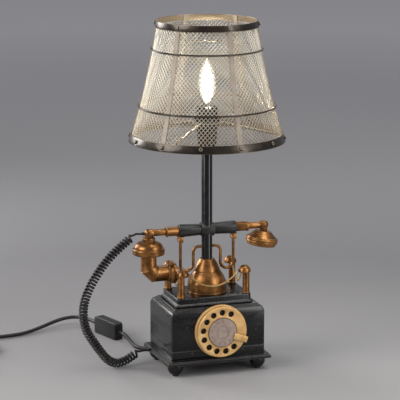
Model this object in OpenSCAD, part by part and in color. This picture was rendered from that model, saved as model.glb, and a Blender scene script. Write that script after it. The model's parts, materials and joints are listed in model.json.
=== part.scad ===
// Table lamp in the shape of an old desk telephone: a black box with a rotary dial, a bell and
// four roped posts on top, a handset carried across the pole, and an open wire-mesh shade.
// Millimetres. The origin is on the table under the pole; +X right, +Y to the back, +Z up.

/* [Base box] */
// Width of the case across its front
case_w = 140; // [134:1:160]
// Depth of the case from front to back
case_d = 102; // [94:1:120]
// Height of the upright walls above the plinth
wall_h = 63.5; // [60:0.5:76]
// Height of the lower tray, up to the seam line
tray_h = 13; // [12:0.5:18]
// Thickness of the case walls
case_wall = 4; // [3:0.5:5]
// Rise of the steep edge of the roof
edge_rise = 6; // [4:0.5:7]
// How far the steep edge draws in
edge_inset = 2.5; // [1.5:0.5:4]
// Number of steps from the steep edge up to the flat roof
roof_steps = 2; // [1:1:3]
// Rise of the whole roof above the walls
roof_rise = 10; // [8.5:0.5:14]
// How far the whole roof draws in
roof_inset = 8; // [4:0.5:11]
// Overhang of the plinth board round the case
plinth_lip = 8; // [5:0.5:12]
// Thickness of the plinth board
plinth_t = 5.5; // [5.4:0.1:8]
// Diameter of a turned foot
foot_d = 22.4; // [19:0.2:26]
// Height of a turned foot
foot_h = 16; // [13:0.5:18]
// Distance of a foot's axis from the plinth edges
foot_inset = 16; // [14:0.5:20]
// Thickness of the felt pad under a foot
pad_t = 1.5; // [1:0.1:2.5]

/* [Top tier] */
// Width of the tier slab
tier_w = 111; // [106:1:116]
// Depth of the tier slab
tier_d = 73; // [70:1:80]
// Thickness of the tier slab
tier_t = 9; // [6:0.5:12]
// Height of the step under the slab
step_h = 3.5; // [2:0.5:6]
// How far the step stands out round the slab
step_lip = 2.5; // [1.5:0.5:4]

/* [Pole and bell] */
// Diameter of the pole
pole_d = 15.5; // [14:0.1:16.5]
// Bore of the pole for the inner lead
pole_bore = 11; // [8:0.5:12]
// Height of the pole above the tier
pole_h = 207; // [190:1:240]
// Diameter of the bell drum
drum_d = 56; // [52:0.5:58]
// Height of the bell drum
drum_h = 13.5; // [11:0.5:17]
// Height of the bell skirt
skirt_h = 17; // [13:0.5:19]
// Diameter of the bell dome at the skirt
dome_d = 37.5; // [34:0.5:40]
// Height of the bell dome
dome_h = 18; // [15:0.5:22]
// Sheet thickness of the bell
bell_wall = 1.8; // [1.2:0.1:2.4]

/* [Posts and ropes] */
// Diameter of a post
post_d = 10; // [8:0.5:11]
// Height of a post below its cap
post_h = 31.5; // [27:0.5:34]
// Distance of a post's axis from the tier edges
post_inset = 6.5; // [6:0.5:9]
// Diameter of a post cap
cap_d = 18; // [15:0.5:19]
// Height of a post cap
cap_h = 10; // [9.5:0.5:12]
// How far a cap sits towards the middle of the lamp
cap_shift = 2.5; // [0:0.5:4]
// Diameter of the rope
rope_d = 2; // [1.6:0.1:2.4]
// Sag of the front and back rope
rope_sag_long = 18.5; // [13:0.5:21]
// Sag of the two side ropes
rope_sag_short = 20; // [14:0.5:22]

/* [Handset] */
// Height of the handset axis above the tier
handset_rise = 91; // [84:1:104]
// Distance of the ear and mouth caps from the pole
reach = 87.5; // [85:0.5:88]
// Length of the black grip, both halves and the sleeve
grip_len = 86; // [80:1:92]
// Grip across its flats beside the sleeve
grip_in = 15.5; // [13:0.5:17]
// Grip across its flats at the ferrules
grip_out = 18; // [16:0.5:20]
// Length of the sleeve that the pole passes through
sleeve_len = 19; // [18:0.5:22]
// Sleeve across its flats
sleeve_af = 19; // [18:0.5:22]
// Diameter of a ferrule
ferrule_d = 13.4; // [12:0.2:15]
// Length of a ferrule with its rim
ferrule_len = 19; // [16:0.5:21]
// Diameter of the thin tubes
tube_d = 9.5; // [8:0.5:10.5]
// Diameter of the mouth cap
mouth_cap_d = 46; // [42:1:47]
// Diameter of the ear cap
ear_cap_d = 47; // [43:1:48]
// Tilt of the ear cap
ear_tilt = 9; // [0:1:14]
// Outer diameter of the horn pipe
pipe_d = 22.5; // [21:0.5:24]
// Wall of the horn pipe
pipe_wall = 2; // [1.5:0.25:3]
// Drop of the horn's level run below the handset axis
horn_drop = 60; // [57:0.5:64]
// Diameter of the horn's mouth ring
horn_mouth_d = 31; // [28:0.5:32]

/* [Cradle] */
// Diameter of the cradle wire
cradle_d = 4.2; // [3:0.1:5]
// Distance of the outer upright of the wire from the pole
cradle_out = 40; // [38:0.5:42]
// Distance of the inner upright of the wire from the pole
cradle_in = 20.5; // [20:0.5:22]
// Height of the wire where it meets the pole, above the tier
cradle_rise = 66; // [64:1:72]
// Height of the bottom of the wire's loop above the tier
cradle_low = 29.5; // [28:0.5:32]

/* [Dial] */
// Diameter of the dial housing
dial_d = 76; // [72:1:78]
// Height of the dial axis above the plinth
dial_rise = 40; // [39.5:0.5:42]
// Depth of the dial housing
housing_t = 6; // [5:0.5:8]
// Diameter of the finger wheel
wheel_d = 73; // [70:0.5:73.4]
// Thickness of the finger wheel
wheel_t = 4; // [3:0.5:5]
// Number of finger holes
hole_count = 10; // [6:1:10]
// Diameter of a finger hole
hole_d = 9; // [7:0.25:9.5]
// Radius of the circle of finger holes
hole_ring = 28.5; // [27:0.25:30]
// Angle between finger holes
hole_step = 27.2; // [25:0.1:28]
// Diameter of the centre disc
disc_d = 42; // [36:1:44]
// Diameter of the dial spindle
spindle_d = 8; // [6:0.5:9]
// Angle of the finger stop below level
stop_angle = 20; // [15:1:24]
// Width of the finger stop
stop_w = 8.5; // [6:0.5:10]

/* [Lampholder and bulb] */
// Diameter of the holder at its foot
holder_d = 26; // [24:0.5:29]
// Diameter of the holder at its mouth
sleeve_d = 31; // [30:0.5:33]
// Height of the lower cap of the holder
holder_cap_h = 27; // [22:1:30]
// Height of the shade seat above the top of the cap
seat_h = 11; // [8:0.5:14]
// Height of the holder sleeve above the shade seat
sleeve_h = 23; // [18:0.5:28]
// Diameter of the bulb
bulb_d = 27; // [24:0.5:36]
// Height of the bulb's glass
bulb_h = 70; // [60:1:84]
// Diameter of the bulb's screw cap
screw_d = 14; // [13:0.5:15]

/* [Shade] */
// Outer diameter of the top edge
shade_top_d = 144; // [130:1:160]
// Outer diameter of the bottom edge
shade_bottom_d = 223; // [200:1:240]
// Height of the shade
shade_h = 171; // [150:1:190]
// How far the shade's bottom edge hangs below its seat
shade_drop = 25; // [18:1:32]
// Depth of the inward curve of the shade's side
shade_sag = 3.7; // [0:0.1:6]
// Thickness of the mesh sheet
mesh_t = 1; // [0.6:0.1:1.5]
// Width of a strand of the mesh
strand_w = 3; // [2:0.25:4]
// Mesh columns between two uprights
mesh_columns = 4; // [3:1:4]
// Mesh rows up the side
mesh_rows = 12; // [8:1:12]
// Width of an upright strip
upright_w = 7; // [5:0.5:10]
// Thickness of an upright strip
upright_t = 1.2; // [0.8:0.1:2]
// Height of the top band
top_band_h = 9; // [7:0.5:12]
// Height of the bottom band
bottom_band_h = 11; // [8:0.5:14]
// Thickness of the bands
band_t = 1.2; // [0.8:0.1:2]
// Diameter of a wire hoop
hoop_d = 2.5; // [2:0.1:3.5]
// Diameter of a rivet head
rivet_d = 6.4; // [5:0.2:8]
// Angle of the first upright, seen from above
upright_angle = 36.5; // [0:0.5:59]

/* [Cords] */
// Diameter of the mains lead
lead_d = 5.5; // [5:0.1:6]
// Diameter of the curly cord's wire
curly_d = 3.2; // [2.6:0.1:3.4]
// Outer diameter of the curls
curl_od = 13.6; // [12:0.2:14]
// Number of curls
curl_count = 55; // [40:1:60]

/* [Switch and plug] */
// Length of the switch box
switch_l = 58; // [54:1:64]
// Height of the switch box as it lies on its edge
switch_h = 26; // [24:0.5:30]
// Thickness of the switch box
switch_t = 14; // [14:0.5:17]
// Wall of the switch box
switch_wall = 2; // [1.5:0.25:2.5]
// Rocking angle from one stop to the other
rock_angle = 24; // [16:1:24]
// Diameter of a plug pin
pin_d = 4; // [4:0.1:4.8]
// Length of a plug pin
pin_l = 19; // [17:0.5:19]
// Distance between the plug pins
pin_gap = 18.6; // [17.5:0.1:19.2]
// Thickness of the plug body
plug_t = 14; // [13:0.5:16]

/* [Hidden] */
$fn = 64;

// Finishes
BLACK = [0.09, 0.09, 0.1];
GOLD = [0.66, 0.42, 0.18];
PALE_GOLD = [0.85, 0.66, 0.4];
BRONZE = [0.28, 0.24, 0.2];
MESH = [0.8, 0.76, 0.66];
STEEL = [0.6, 0.6, 0.62];
CORD = [0.06, 0.055, 0.05];

// Clearances: a running shaft, a sliding or seated fit, and pieces that move past each other
run_gap = 0.05;
seat_gap = 0.1;
pass_gap = 0.6;
// Longer than any piece, for cuts
big = 400;

// Heights of the base, from the table up
z_plinth = pad_t + foot_h;
z_tray = z_plinth + plinth_t;
z_seam = z_tray + tray_h;
z_wall = z_tray + wall_h;
z_edge = z_wall + edge_rise;
z_roof = z_wall + roof_rise;
z_tier = z_roof + step_h + tier_t;
roof_t = case_wall;
tray_floor = 3;
plinth_w = case_w + 2 * plinth_lip;
plinth_d = case_d + 2 * plinth_lip;
foot_x = plinth_w / 2 - foot_inset;
foot_y = plinth_d / 2 - foot_inset;
foot_r = foot_d / 2;
foot_centre = pad_t + sqrt(pow(foot_r, 2) - pow(pad_r(), 2));
screw_r = 2;
screw_head_r = 3.6;
screw_head_h = 2.5;
corner_r = 2;
tier_corner = 6;

// Pole, bell and posts
pole_r = pole_d / 2;
pole_foot = z_wall - roof_t - 13;
pole_flange_r = drum_d / 2 - bell_wall - 3;
pole_flange_t = 4;
nut_af = 24;
nut_h = 8;
z_skirt = z_tier + drum_h;
z_dome = z_skirt + skirt_h;
dome_lip = 2.2;
dome_swell = 0.9;
skirt_swell = 1;
post_x = tier_w / 2 - post_inset;
post_y = tier_d / 2 - post_inset;
rope_rise = 0.5;
rope_z = z_tier + post_h + rope_rise;
rope_rings = 12;

// Handset
handset_z = z_tier + handset_rise;
ferrule_x = grip_len / 2;
grip_half = (grip_len - sleeve_len) / 2;
ferrule_end = ferrule_x + ferrule_len;
ferrule_rim_t = 2.5;
ferrule_rim_d = ferrule_d + 1.6;
tube_seat = 7;
knuckle_r = tube_d / 2 + 1.4;
cap_top = -9;
mouth_top = -knuckle_r - 0.15;
mouth_rim_top = -21.5;
mouth_rim_h = 9;
ear_rim = -21;
ear_bottom = ear_rim - 9;
ear_recess = 4;
ear_recess_r = ear_cap_d / 2 - 7.5;
horn_bend = 9;
horn_ring_l = 12;
horn_lap = 3;
horn_clear = 1;
rope_edge = post_x - cap_shift + rope_d / 2;
horn_end = reach - rope_edge - horn_clear - horn_ring_l + horn_lap;

// Cradle
cradle_r = cradle_d / 2;
loop_r = (cradle_out - cradle_in) / 2;
loop_z = z_tier + cradle_low + cradle_r + loop_r;
bend_r = 8;
bend_z = z_tier + cradle_rise - bend_r;
lug_drop = 5;
lug_z = handset_z - grip_out / 2 - lug_drop;
lug_barrel_r = 3.6;
lug_w = 7;
lug_top_w = 10;
lug_top = handset_z - grip_in / 2 - lug_z;

// Dial, along its own axis from the case's front face
dial_x = 2;
plate_t = 1;
wheel_back = housing_t + plate_t + pass_gap;
wheel_face = wheel_back + wheel_t;
disc_t = 1.2;
stop_back = wheel_face + disc_t + pass_gap;
stop_t = 2.8;
stop_in = disc_d / 2 - 3;
stop_leg = wheel_d / 2 + pass_gap;
stop_out = stop_leg + 1.2;
first_hole = 63;
housing_wall = 2.5;
spindle_r = spindle_d / 2;
clip_t = 1;
spring_turns = 4;
spring_t = 0.6;

// Lampholder, bulb and shade
z_holder = z_tier + pole_h;
z_cap_top = z_holder + holder_cap_h;
z_seat = z_cap_top + seat_h;
z_mouth = z_seat + sleeve_h;
pole_lap = 8;
hub_t = 1.5;
ring_h = 5;
sleeve_r = sleeve_d / 2;
screw_len = 22;
glass_t = 0.8;
z_bottom = z_seat - shade_drop;
z_top = z_bottom + shade_h;
upright_count = 6;
bottom_rivets = 12;
upright_in = mesh_t + seat_gap;
upright_out = upright_in + upright_t;
side_t = upright_out + seat_gap + band_t;
mesh_top_r = shade_top_d / 2 - side_t;
mesh_bottom_r = shade_bottom_d / 2 - side_t;
side_steps = 6;
hoop_at = [0.235, 0.71];
arm_count = 3;
arm_turn = 66.5;
arm_d = 4;
rivet_h = 1.8;
shank_r = 1.5;

// Cord routes, chosen by hand
gland_x = 20;
gland_collar = 1;
gland_z = z_tray + gland_r() + gland_collar + pass_gap;
gland_l = 20;
gland_end = case_d / 2 + gland_l;
curly_y = 26;
curly_z = z_plinth + plinth_t / 2;
bush_r = curly_d / 2 + 0.6;
bush_l = 4;
bush_seat = 3;
curly_out = [-reach - knuckle_r - bush_l, 0, handset_z];
curly_in = [-plinth_w / 2 - bush_l, curly_y, curly_z];
curly_route = [curly_out, curly_out + [-5, 0, 0], [-107, 0, 200], [-115, 0, 194], [-129, 1, 183],
    [-143, 2, 170], [-155, 3, 156], [-165, 4, 141], [-173, 6, 126], [-179, 7, 111], [-182, 9, 94],
    [-181, 10, 77], [-176, 12, 60], [-167, 13, 45], [-157, 15, 30], [-146, 16, 16], [-134, 18, 8.5],
    [-121, 20, 8.5], [-109, 23, 13], [-98, 25, 18], curly_in + [-6, 0, 0], curly_in];
switch_at = [-95, 184];
switch_angle = 106.5;
switch_axis = [cos(switch_angle), sin(switch_angle), 0];
switch_mid = [switch_at[0], switch_at[1], switch_h / 2];
// Lead behind the case: a turn to the left, a straight, a turn to the right and on to the switch
lead_bend = 27;
lead_turn = 125;
lead_back = 115;
lead_straight = 14;
lead_drop = 84;
lead_climb = 42;
lead_z = lead_d / 2 + 0.45;
bend_a = [gland_x - lead_bend, gland_end + 4];
bend_b = bend_a + 2 * lead_bend * way(lead_turn) + lead_straight * way(lead_turn + 90);
switch_near = switch_mid - (switch_l / 2 + 11) * switch_axis;
lead_plan = concat([[gland_x, gland_end]], arc(bend_a, 0, lead_turn, 8),
    arc(bend_b, lead_turn + 180, lead_turn + 180 - lead_back, 8),
    [for (u = [0.2:0.2:1]) let (last = bend_b + lead_bend * way(lead_turn + 180 - lead_back))
        last + u * ([switch_near[0], switch_near[1]] - last)]);
lead_run = lengths(lead_plan);
lead_end = lead_run[len(lead_run) - 1];
switch_route = concat([for (i = [0:len(lead_plan) - 1]) let (s = lead_run[i],
    fall = (gland_z - lead_z) * (1 - eased(s / lead_drop)),
    climb = (switch_mid[2] - lead_z) * eased((s - lead_end + lead_climb) / lead_climb))
    [lead_plan[i][0], lead_plan[i][1], lead_z + fall + climb]], [switch_mid - switch_l / 2 * switch_axis]);
coil_at = [-316, 176];
coil_in_r = 24;
coil_pitch = lead_d + 0.5;
coil_turns_in = 3;
coil_turns_out = 2.8;
coil_lift = 1;
coil_out_r = coil_in_r + coil_turns_in * coil_pitch;
coil_z = coil_lift + lead_d / 2;
coil_start = [coil_at[0] + 2 * lead_d, coil_at[1] + coil_out_r, coil_z];
coil_route = [switch_mid + switch_l / 2 * switch_axis, switch_mid + (switch_l / 2 + 11) * switch_axis,
    [-110, 235, 13], [-114, 246, 13], [-121, 256, 12.5], [-131, 262, 12], [-143, 262.5, 11],
    [-156, 259, 9.5], [-168, 253, 8], [-180, 246, 6.5], [-193, 239, 5], [-206, 232, 4], [-220, 226, 3.5],
    [-234, 222, 3.5], [-248, 220, 3.5], [-262, 219, 3.5], [-276, 218.5, 3.5], [-290, 218, 3.6],
    coil_start + [11, 0, 0], coil_start];
tail_l = 46;
plug_z = plug_t / 2;

// A level direction at an angle
function way(a) = [cos(a), sin(a)];
// Points on a bend of the lead about c
function arc(c, a0, a1, n) = [for (i = [0:n]) c + lead_bend * way(a0 + (a1 - a0) * i / n)];
// A smooth step from nought to one
function eased(x) = let (t = min(1, max(0, x))) t * t * (3 - 2 * t);
// Radius of a foot pad
function pad_r() = 4.4;
// A vector of length one
function unit(v) = v / norm(v);
// Directions along a row of points
function headings(p) = [for (i = [0:len(p) - 1]) unit(p[min(i + 1, len(p) - 1)] - p[max(i - 1, 0)])];
// The part of a side vector that is square to a heading
function square_to(e, t) = unit(e - (e * t) * t);
// Side vectors carried along the headings without twist
function carried(t, e, i = 0, done = []) =
    i == len(t) ? done : carried(t, square_to(e, t[i]), i + 1, concat(done, [square_to(e, t[i])]));
// A smooth curve through four points, between the second and the third
function smooth(a, b, c, d, u) =
    0.5 * (2 * b + (c - a) * u + (2 * a - 5 * b + 4 * c - d) * u * u + (3 * b - a - 3 * c + d) * u * u * u);
// A smooth curve through all points, some steps between each two
function curve(p, steps) = let (n = len(p) - 1) concat([for (i = [0:n - 1], k = [0:steps - 1])
    smooth(p[max(i - 1, 0)], p[i], p[i + 1], p[min(i + 2, n)], k / steps)], [p[n]]);
// Lengths along a row of points
function lengths(p, i = 1, done = [0]) =
    i == len(p) ? done : lengths(p, i + 1, concat(done, [done[i - 1] + norm(p[i] - p[i - 1])]));
// Least gap between the turns of one wire of diameter d, looking from `near` to `far` points ahead
function least_gap(p, d, near, far) =
    min([for (i = [0:len(p) - near - 1], j = [i + near:min(i + far, len(p) - 1)]) norm(p[i] - p[j])]) - d;

// A tube of diameter d through the points p, with flat ends
module tube(p, d, sides, side_hint = [0, 0, 1]) {
    t = headings(p);
    e = carried(t, side_hint);
    n = len(p);
    ring = [for (i = [0:n - 1], j = [0:sides - 1])
        p[i] + d / 2 * (cos(360 * j / sides) * e[i] + sin(360 * j / sides) * cross(t[i], e[i]))];
    skin = [for (i = [0:n - 2], j = [0:sides - 1]) let (k = (j + 1) % sides, a = i * sides, b = a + sides)
        each [[a + j, b + j, b + k], [a + j, b + k, a + k]]];
    first = [for (j = [1:sides - 2]) [0, j, j + 1]];
    last = [for (j = [1:sides - 2]) [(n - 1) * sides, (n - 1) * sides + j + 1, (n - 1) * sides + j]];
    polyhedron(points = ring, faces = concat(skin, first, last));
}

// A flat rectangle with round corners
module round_rect(w, d, r) {
    square([w - 2 * r, d], center = true);
    square([w, d - 2 * r], center = true);
    for (x = [-1, 1], y = [-1, 1])
        translate([x * (w / 2 - r), y * (d / 2 - r)])
            circle(r = r);
}

// A board with round upright corners
module board(w, d, h, r) {
    linear_extrude(height = h)
        round_rect(w, d, r);
}

// Half outline of a disc with a round rim, for turning
module disc_outline(r, h, e) {
    square([r - e, h]);
    translate([0, e])
        square([r, h - 2 * e]);
    for (z = [e, h - e])
        translate([r - e, z])
            circle(r = e);
}

// Half outline of a domed wall from p to q that swells out by `bulge`, for turning
module arc_wall(p, q, bulge, t) {
    chord = norm(q - p);
    r = (chord * chord / 4 + bulge * bulge) / (2 * bulge);
    along = (q - p) / chord;
    c = (p + q) / 2 - [along[1], -along[0]] * (r - bulge);
    intersection() {
        translate(c)
            difference() {
                circle(r = r, $fn = 128);
                circle(r = r - t, $fn = 128);
            }
        polygon([c, c + 3 * (p - c), c + 6 * ((p + q) / 2 - c), c + 3 * (q - c)]);
    }
}

// Copies at the four corners of a rectangle
module corners(x, y) {
    for (i = [-1, 1], j = [-1, 1])
        translate([i * x, j * y, 0])
            children();
}

// Both ends of the handset: drawn for the right end, turned over for the left
module both_ends() {
    translate([0, 0, handset_z]) {
        children();
        mirror([1, 0, 0])
            children();
    }
}

// Along the handset from the pole outwards
module outwards(x) {
    translate([x, 0, 0])
        rotate([0, 90, 0])
            children();
}

// The dial's own frame: z out of the case's front face
module on_dial() {
    translate([dial_x, -case_d / 2, z_tray + dial_rise])
        rotate([90, 0, 0])
            children();
}

// Felt pads that the lamp stands on
module foot_pads() {
    color("dimgray")
        corners(foot_x, foot_y)
            cylinder(r = pad_r(), h = pad_t);
}

// Turned feet, with a hole for the screw and its head
module ball_feet() {
    color(BLACK)
        corners(foot_x, foot_y)
            difference() {
                intersection() {
                    translate([0, 0, foot_centre])
                        sphere(r = foot_r);
                    translate([0, 0, pad_t])
                        cylinder(r = foot_d, h = foot_h);
                }
                cylinder(r = screw_r + seat_gap, h = big);
                cylinder(r = screw_head_r + seat_gap, h = pad_t + screw_head_h + seat_gap);
            }
}

// Screws that hold the feet to the plinth and the tray
module foot_screws() {
    color(STEEL)
        corners(foot_x, foot_y)
            translate([0, 0, pad_t + seat_gap]) {
                cylinder(r = screw_head_r, h = screw_head_h);
                cylinder(r = screw_r, h = z_tray + tray_floor - pad_t + 4);
            }
}

// Board under the case, stepped at its edge
module plinth() {
    step = 2;
    color(BLACK)
        difference() {
            translate([0, 0, z_plinth]) {
                board(plinth_w, plinth_d, plinth_t - step, corner_r);
                board(plinth_w - 2 * step, plinth_d - 2 * step, plinth_t, corner_r);
            }
            corners(foot_x, foot_y)
                cylinder(r = screw_r + seat_gap, h = big);
            bush_hole(curly_in);
        }
}

// Lower part of the case, below the seam
module lower_tray() {
    color(BLACK)
        difference() {
            translate([0, 0, z_tray])
                board(case_w, case_d, tray_h, corner_r);
            translate([0, 0, z_tray + tray_floor])
                board(case_w - 2 * case_wall, case_d - 2 * case_wall, big, corner_r);
            corners(foot_x, foot_y)
                cylinder(r = screw_r + seat_gap, h = big);
            translate([gland_x, 0, gland_z])
                rotate([-90, 0, 0])
                    cylinder(r = gland_r() + seat_gap, h = big);
        }
}

// Steep edge of the roof, from the walls up
module roof_edge() {
    layer = 0.5;
    hull() {
        translate([0, 0, z_wall - layer])
            board(case_w, case_d, layer, corner_r, $fn = 24);
        translate([0, 0, z_edge - layer])
            board(case_w - 2 * edge_inset, case_d - 2 * edge_inset, layer, corner_r, $fn = 24);
    }
}

// One step of the roof, drawn in by `inset` and rising to `rise` above the walls
module roof_step(inset, rise) {
    board(case_w - 2 * inset, case_d - 2 * inset, rise, corner_r);
}

// Upper part of the case with its stepped roof
module upper_case() {
    color(BLACK)
        difference() {
            union() {
                translate([0, 0, z_seam])
                    board(case_w, case_d, z_wall - z_seam, corner_r);
                roof_edge();
                for (k = [1:roof_steps])
                    translate([0, 0, z_wall])
                        roof_step(edge_inset + (roof_inset - edge_inset) * k / roof_steps,
                            edge_rise + (roof_rise - edge_rise) * k / roof_steps);
            }
            translate([0, 0, z_seam - 1])
                board(case_w - 2 * case_wall, case_d - 2 * case_wall, z_wall - roof_t - z_seam + 1, corner_r);
            cylinder(r = pole_r + seat_gap, h = big);
            on_dial()
                translate([0, 0, -2 * case_wall])
                    cylinder(r = spindle_r + 1, h = 4 * case_wall);
        }
}

// Slab on a step that carries the bell and the posts
module top_tier() {
    color(BLACK)
        difference() {
            union() {
                translate([0, 0, z_roof]) {
                    board(tier_w + 2 * step_lip, tier_d + 2 * step_lip, step_h, tier_corner);
                    board(tier_w, tier_d, step_h + tier_t, tier_corner);
                }
            }
            cylinder(r = pole_r + seat_gap, h = big);
        }
}

// Pole, a tube with a flange that the nut pulls down on the tier
module pole() {
    color(BLACK)
        difference() {
            union() {
                translate([0, 0, pole_foot])
                    cylinder(r = pole_r, h = z_holder + pole_lap - pole_foot);
                translate([0, 0, z_tier])
                    cylinder(r = pole_flange_r, h = pole_flange_t);
            }
            cylinder(d = pole_bore, h = big);
        }
}

// Nut under the roof
module pole_nut() {
    color(STEEL)
        translate([0, 0, z_wall - roof_t - nut_h])
            difference() {
                cylinder(d = nut_af / cos(30), h = nut_h, $fn = 6);
                translate([0, 0, -1])
                    cylinder(r = pole_r + run_gap, h = nut_h + 2);
            }
}

// Lowest part of the bell
module bell_drum() {
    lip = 1.5;
    color(GOLD)
        translate([0, 0, z_tier])
            rotate_extrude() {
                translate([drum_d / 2 - bell_wall, 0])
                    square([bell_wall, drum_h]);
                translate([drum_d / 2 - bell_wall, 0])
                    square([bell_wall + 0.8, lip]);
            }
}

// Sloping skirt of the bell
module bell_skirt() {
    bead = 0.9;
    color(GOLD)
        rotate_extrude()
            difference() {
                union() {
                    arc_wall([drum_d / 2, z_skirt], [dome_d / 2, z_dome], skirt_swell, bell_wall);
                    translate([dome_d / 2 - 0.3, z_dome - bead])
                        circle(r = bead);
                    translate([drum_d / 2 - bell_wall, z_skirt])
                        square([bell_wall, 1.2]);
                }
                translate([0, z_dome])
                    square([big, big]);
                translate([0, z_skirt - big])
                    square([big, big]);
            }
}

// Dome of the bell, up to the pole
module bell_dome() {
    neck_r = pole_r + seat_gap;
    color(GOLD)
        rotate_extrude()
            difference() {
                union() {
                    arc_wall([dome_d / 2, z_dome], [neck_r + dome_lip, z_dome + dome_h],
                        dome_swell, bell_wall);
                    translate([neck_r, z_dome + dome_h - bell_wall])
                        square([dome_lip, bell_wall]);
                }
                translate([0, z_dome - big])
                    square([big, big]);
                square([neck_r, big]);
            }
}

// Posts on the corners of the tier
module posts() {
    collar_h = 2;
    color(GOLD)
        corners(post_x, post_y)
            translate([0, 0, z_tier]) {
                cylinder(d = post_d, h = post_h);
                cylinder(d = post_d + 1.6, h = collar_h);
            }
}

// Domed caps, set towards the middle
module post_caps() {
    color(GOLD)
        for (i = [-1, 1], j = [-1, 1])
            translate([i * (post_x - cap_shift), j * post_y, z_tier + post_h])
                intersection() {
                    union() {
                        cylinder(d = cap_d, h = cap_h - cap_d / 2 + 1);
                        translate([0, 0, cap_h - cap_d / 2])
                            sphere(d = cap_d);
                    }
                    cylinder(d = big, h = big);
                }
}

// A hanging rope between two points, sagging as a parabola
function swag(a, b, sag) = [for (i = [0:rope_rings]) let (u = i / rope_rings)
    a + (b - a) * u - [0, 0, 4 * sag * u * (1 - u)]];

// Ropes hung from cap to cap
module rope_swags() {
    x = post_x - cap_shift - cap_d / 2 - rope_d / 2 - seat_gap;
    y = post_y - cap_d / 2 - rope_d / 2 - seat_gap;
    color(PALE_GOLD) {
        for (j = [-1, 1]) {
            at = j * post_y;
            tube(swag([-x, at, rope_z], [x, at, rope_z], rope_sag_long), rope_d, 8, [0, 1, 0]);
        }
        for (i = [-1, 1]) {
            at = i * (post_x - cap_shift);
            tube(swag([at, -y, rope_z], [at, y, rope_z], rope_sag_short), rope_d, 8, [1, 0, 0]);
        }
    }
}

// Bent wires that carry the handset's ends from the pole
module cradle_wires() {
    color(GOLD)
        for (i = [0, 1])
            mirror([i, 0, 0]) {
                translate([cradle_out, 0, loop_z])
                    cylinder(r = cradle_r, h = lug_z - loop_z);
                translate([cradle_in + loop_r, 0, loop_z])
                    rotate([-90, 0, 0])
                        rotate_extrude(angle = 180)
                            translate([loop_r, 0])
                                circle(r = cradle_r);
                translate([cradle_in, 0, loop_z])
                    cylinder(r = cradle_r, h = bend_z - loop_z);
                translate([cradle_in - bend_r, 0, bend_z])
                    rotate([90, 0, 0])
                        rotate_extrude(angle = 90)
                            translate([bend_r, 0])
                                circle(r = cradle_r);
                translate([pole_r + seat_gap, 0, bend_z + bend_r])
                    outwards(0)
                        cylinder(r = cradle_r, h = cradle_in - bend_r - pole_r - seat_gap);
            }
}

// Lugs between the wires and the handset
module cradle_lugs() {
    color(GOLD)
        for (i = [0, 1])
            mirror([i, 0, 0])
                difference() {
                    union() {
                        translate([cradle_out, 0, lug_z])
                            rotate([90, 0, 0])
                                cylinder(r = lug_barrel_r, h = lug_w + 2, center = true);
                        translate([cradle_out, 0, lug_z])
                            rotate([90, 0, 0])
                                linear_extrude(height = lug_w, center = true)
                                    polygon([[-2.4, 0], [2.4, 0], [lug_top_w / 2, lug_top],
                                        [-lug_top_w / 2, lug_top]]);
                    }
                    translate([0, 0, handset_z])
                        outwards(sleeve_len / 2)
                            octagon_cone(grip_in + 2 * seat_gap, grip_out + 2 * seat_gap, grip_half);
                    translate([cradle_out, 0, lug_z - big])
                        cylinder(r = cradle_r + seat_gap, h = big + seat_gap);
                }
}

// An eight-sided bar, given across its flats at both ends
module octagon_cone(af0, af1, h) {
    rotate([0, 0, 22.5])
        cylinder(d1 = af0 / cos(22.5), d2 = af1 / cos(22.5), h = h, $fn = 8);
}

// Middle of the handset, with the hole for the pole
module handset_sleeve() {
    collar_h = 13;
    color(BLACK)
        translate([0, 0, handset_z])
            difference() {
                union() {
                    outwards(-sleeve_len / 2)
                        rotate([0, 0, 22.5])
                            cylinder(d = sleeve_af / cos(22.5), h = sleeve_len, $fn = 8);
                    cylinder(d = pole_d + 3, h = collar_h, center = true);
                }
                cylinder(r = pole_r + run_gap, h = 2 * sleeve_af, center = true);
            }
}

// Eight-sided halves of the grip
module handset_grips() {
    color(BLACK)
        both_ends()
            outwards(sleeve_len / 2)
                octagon_cone(grip_in, grip_out, grip_half);
}

// Ferrules at the ends of the grip
module ferrules() {
    color(GOLD)
        both_ends()
            outwards(ferrule_x)
                difference() {
                    union() {
                        cylinder(d = ferrule_d, h = ferrule_len);
                        translate([0, 0, ferrule_len - ferrule_rim_t])
                            cylinder(d = ferrule_rim_d, h = ferrule_rim_t);
                    }
                    translate([0, 0, ferrule_len - tube_seat])
                        cylinder(r = tube_d / 2 + run_gap, h = big);
                }
}

// Thin tubes from the ferrules to the caps
module handset_tubes() {
    color(GOLD)
        both_ends()
            outwards(ferrule_end - tube_seat)
                cylinder(d = tube_d, h = reach - ferrule_end + tube_seat);
}

// Knuckles that turn the tubes down to the caps
module knuckles() {
    neck_r = 5.6;
    lean = [0, ear_tilt];
    tops = [mouth_top, cap_top];
    color(GOLD)
        difference() {
            translate([0, 0, handset_z])
                for (i = [0, 1])
                    mirror([1 - i, 0, 0])
                        difference() {
                            union() {
                                translate([reach, 0, 0])
                                    sphere(r = knuckle_r);
                                outwards(reach - knuckle_r)
                                    cylinder(r = knuckle_r, h = knuckle_r);
                                translate([reach, 0, 0])
                                    rotate([0, lean[i], 0])
                                        translate([0, 0, tops[i]])
                                            cylinder(r = neck_r, h = -tops[i]);
                            }
                            outwards(0)
                                cylinder(r = tube_d / 2 + run_gap, h = reach + run_gap);
                        }
            bush_hole(curly_out);
        }
}

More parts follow.
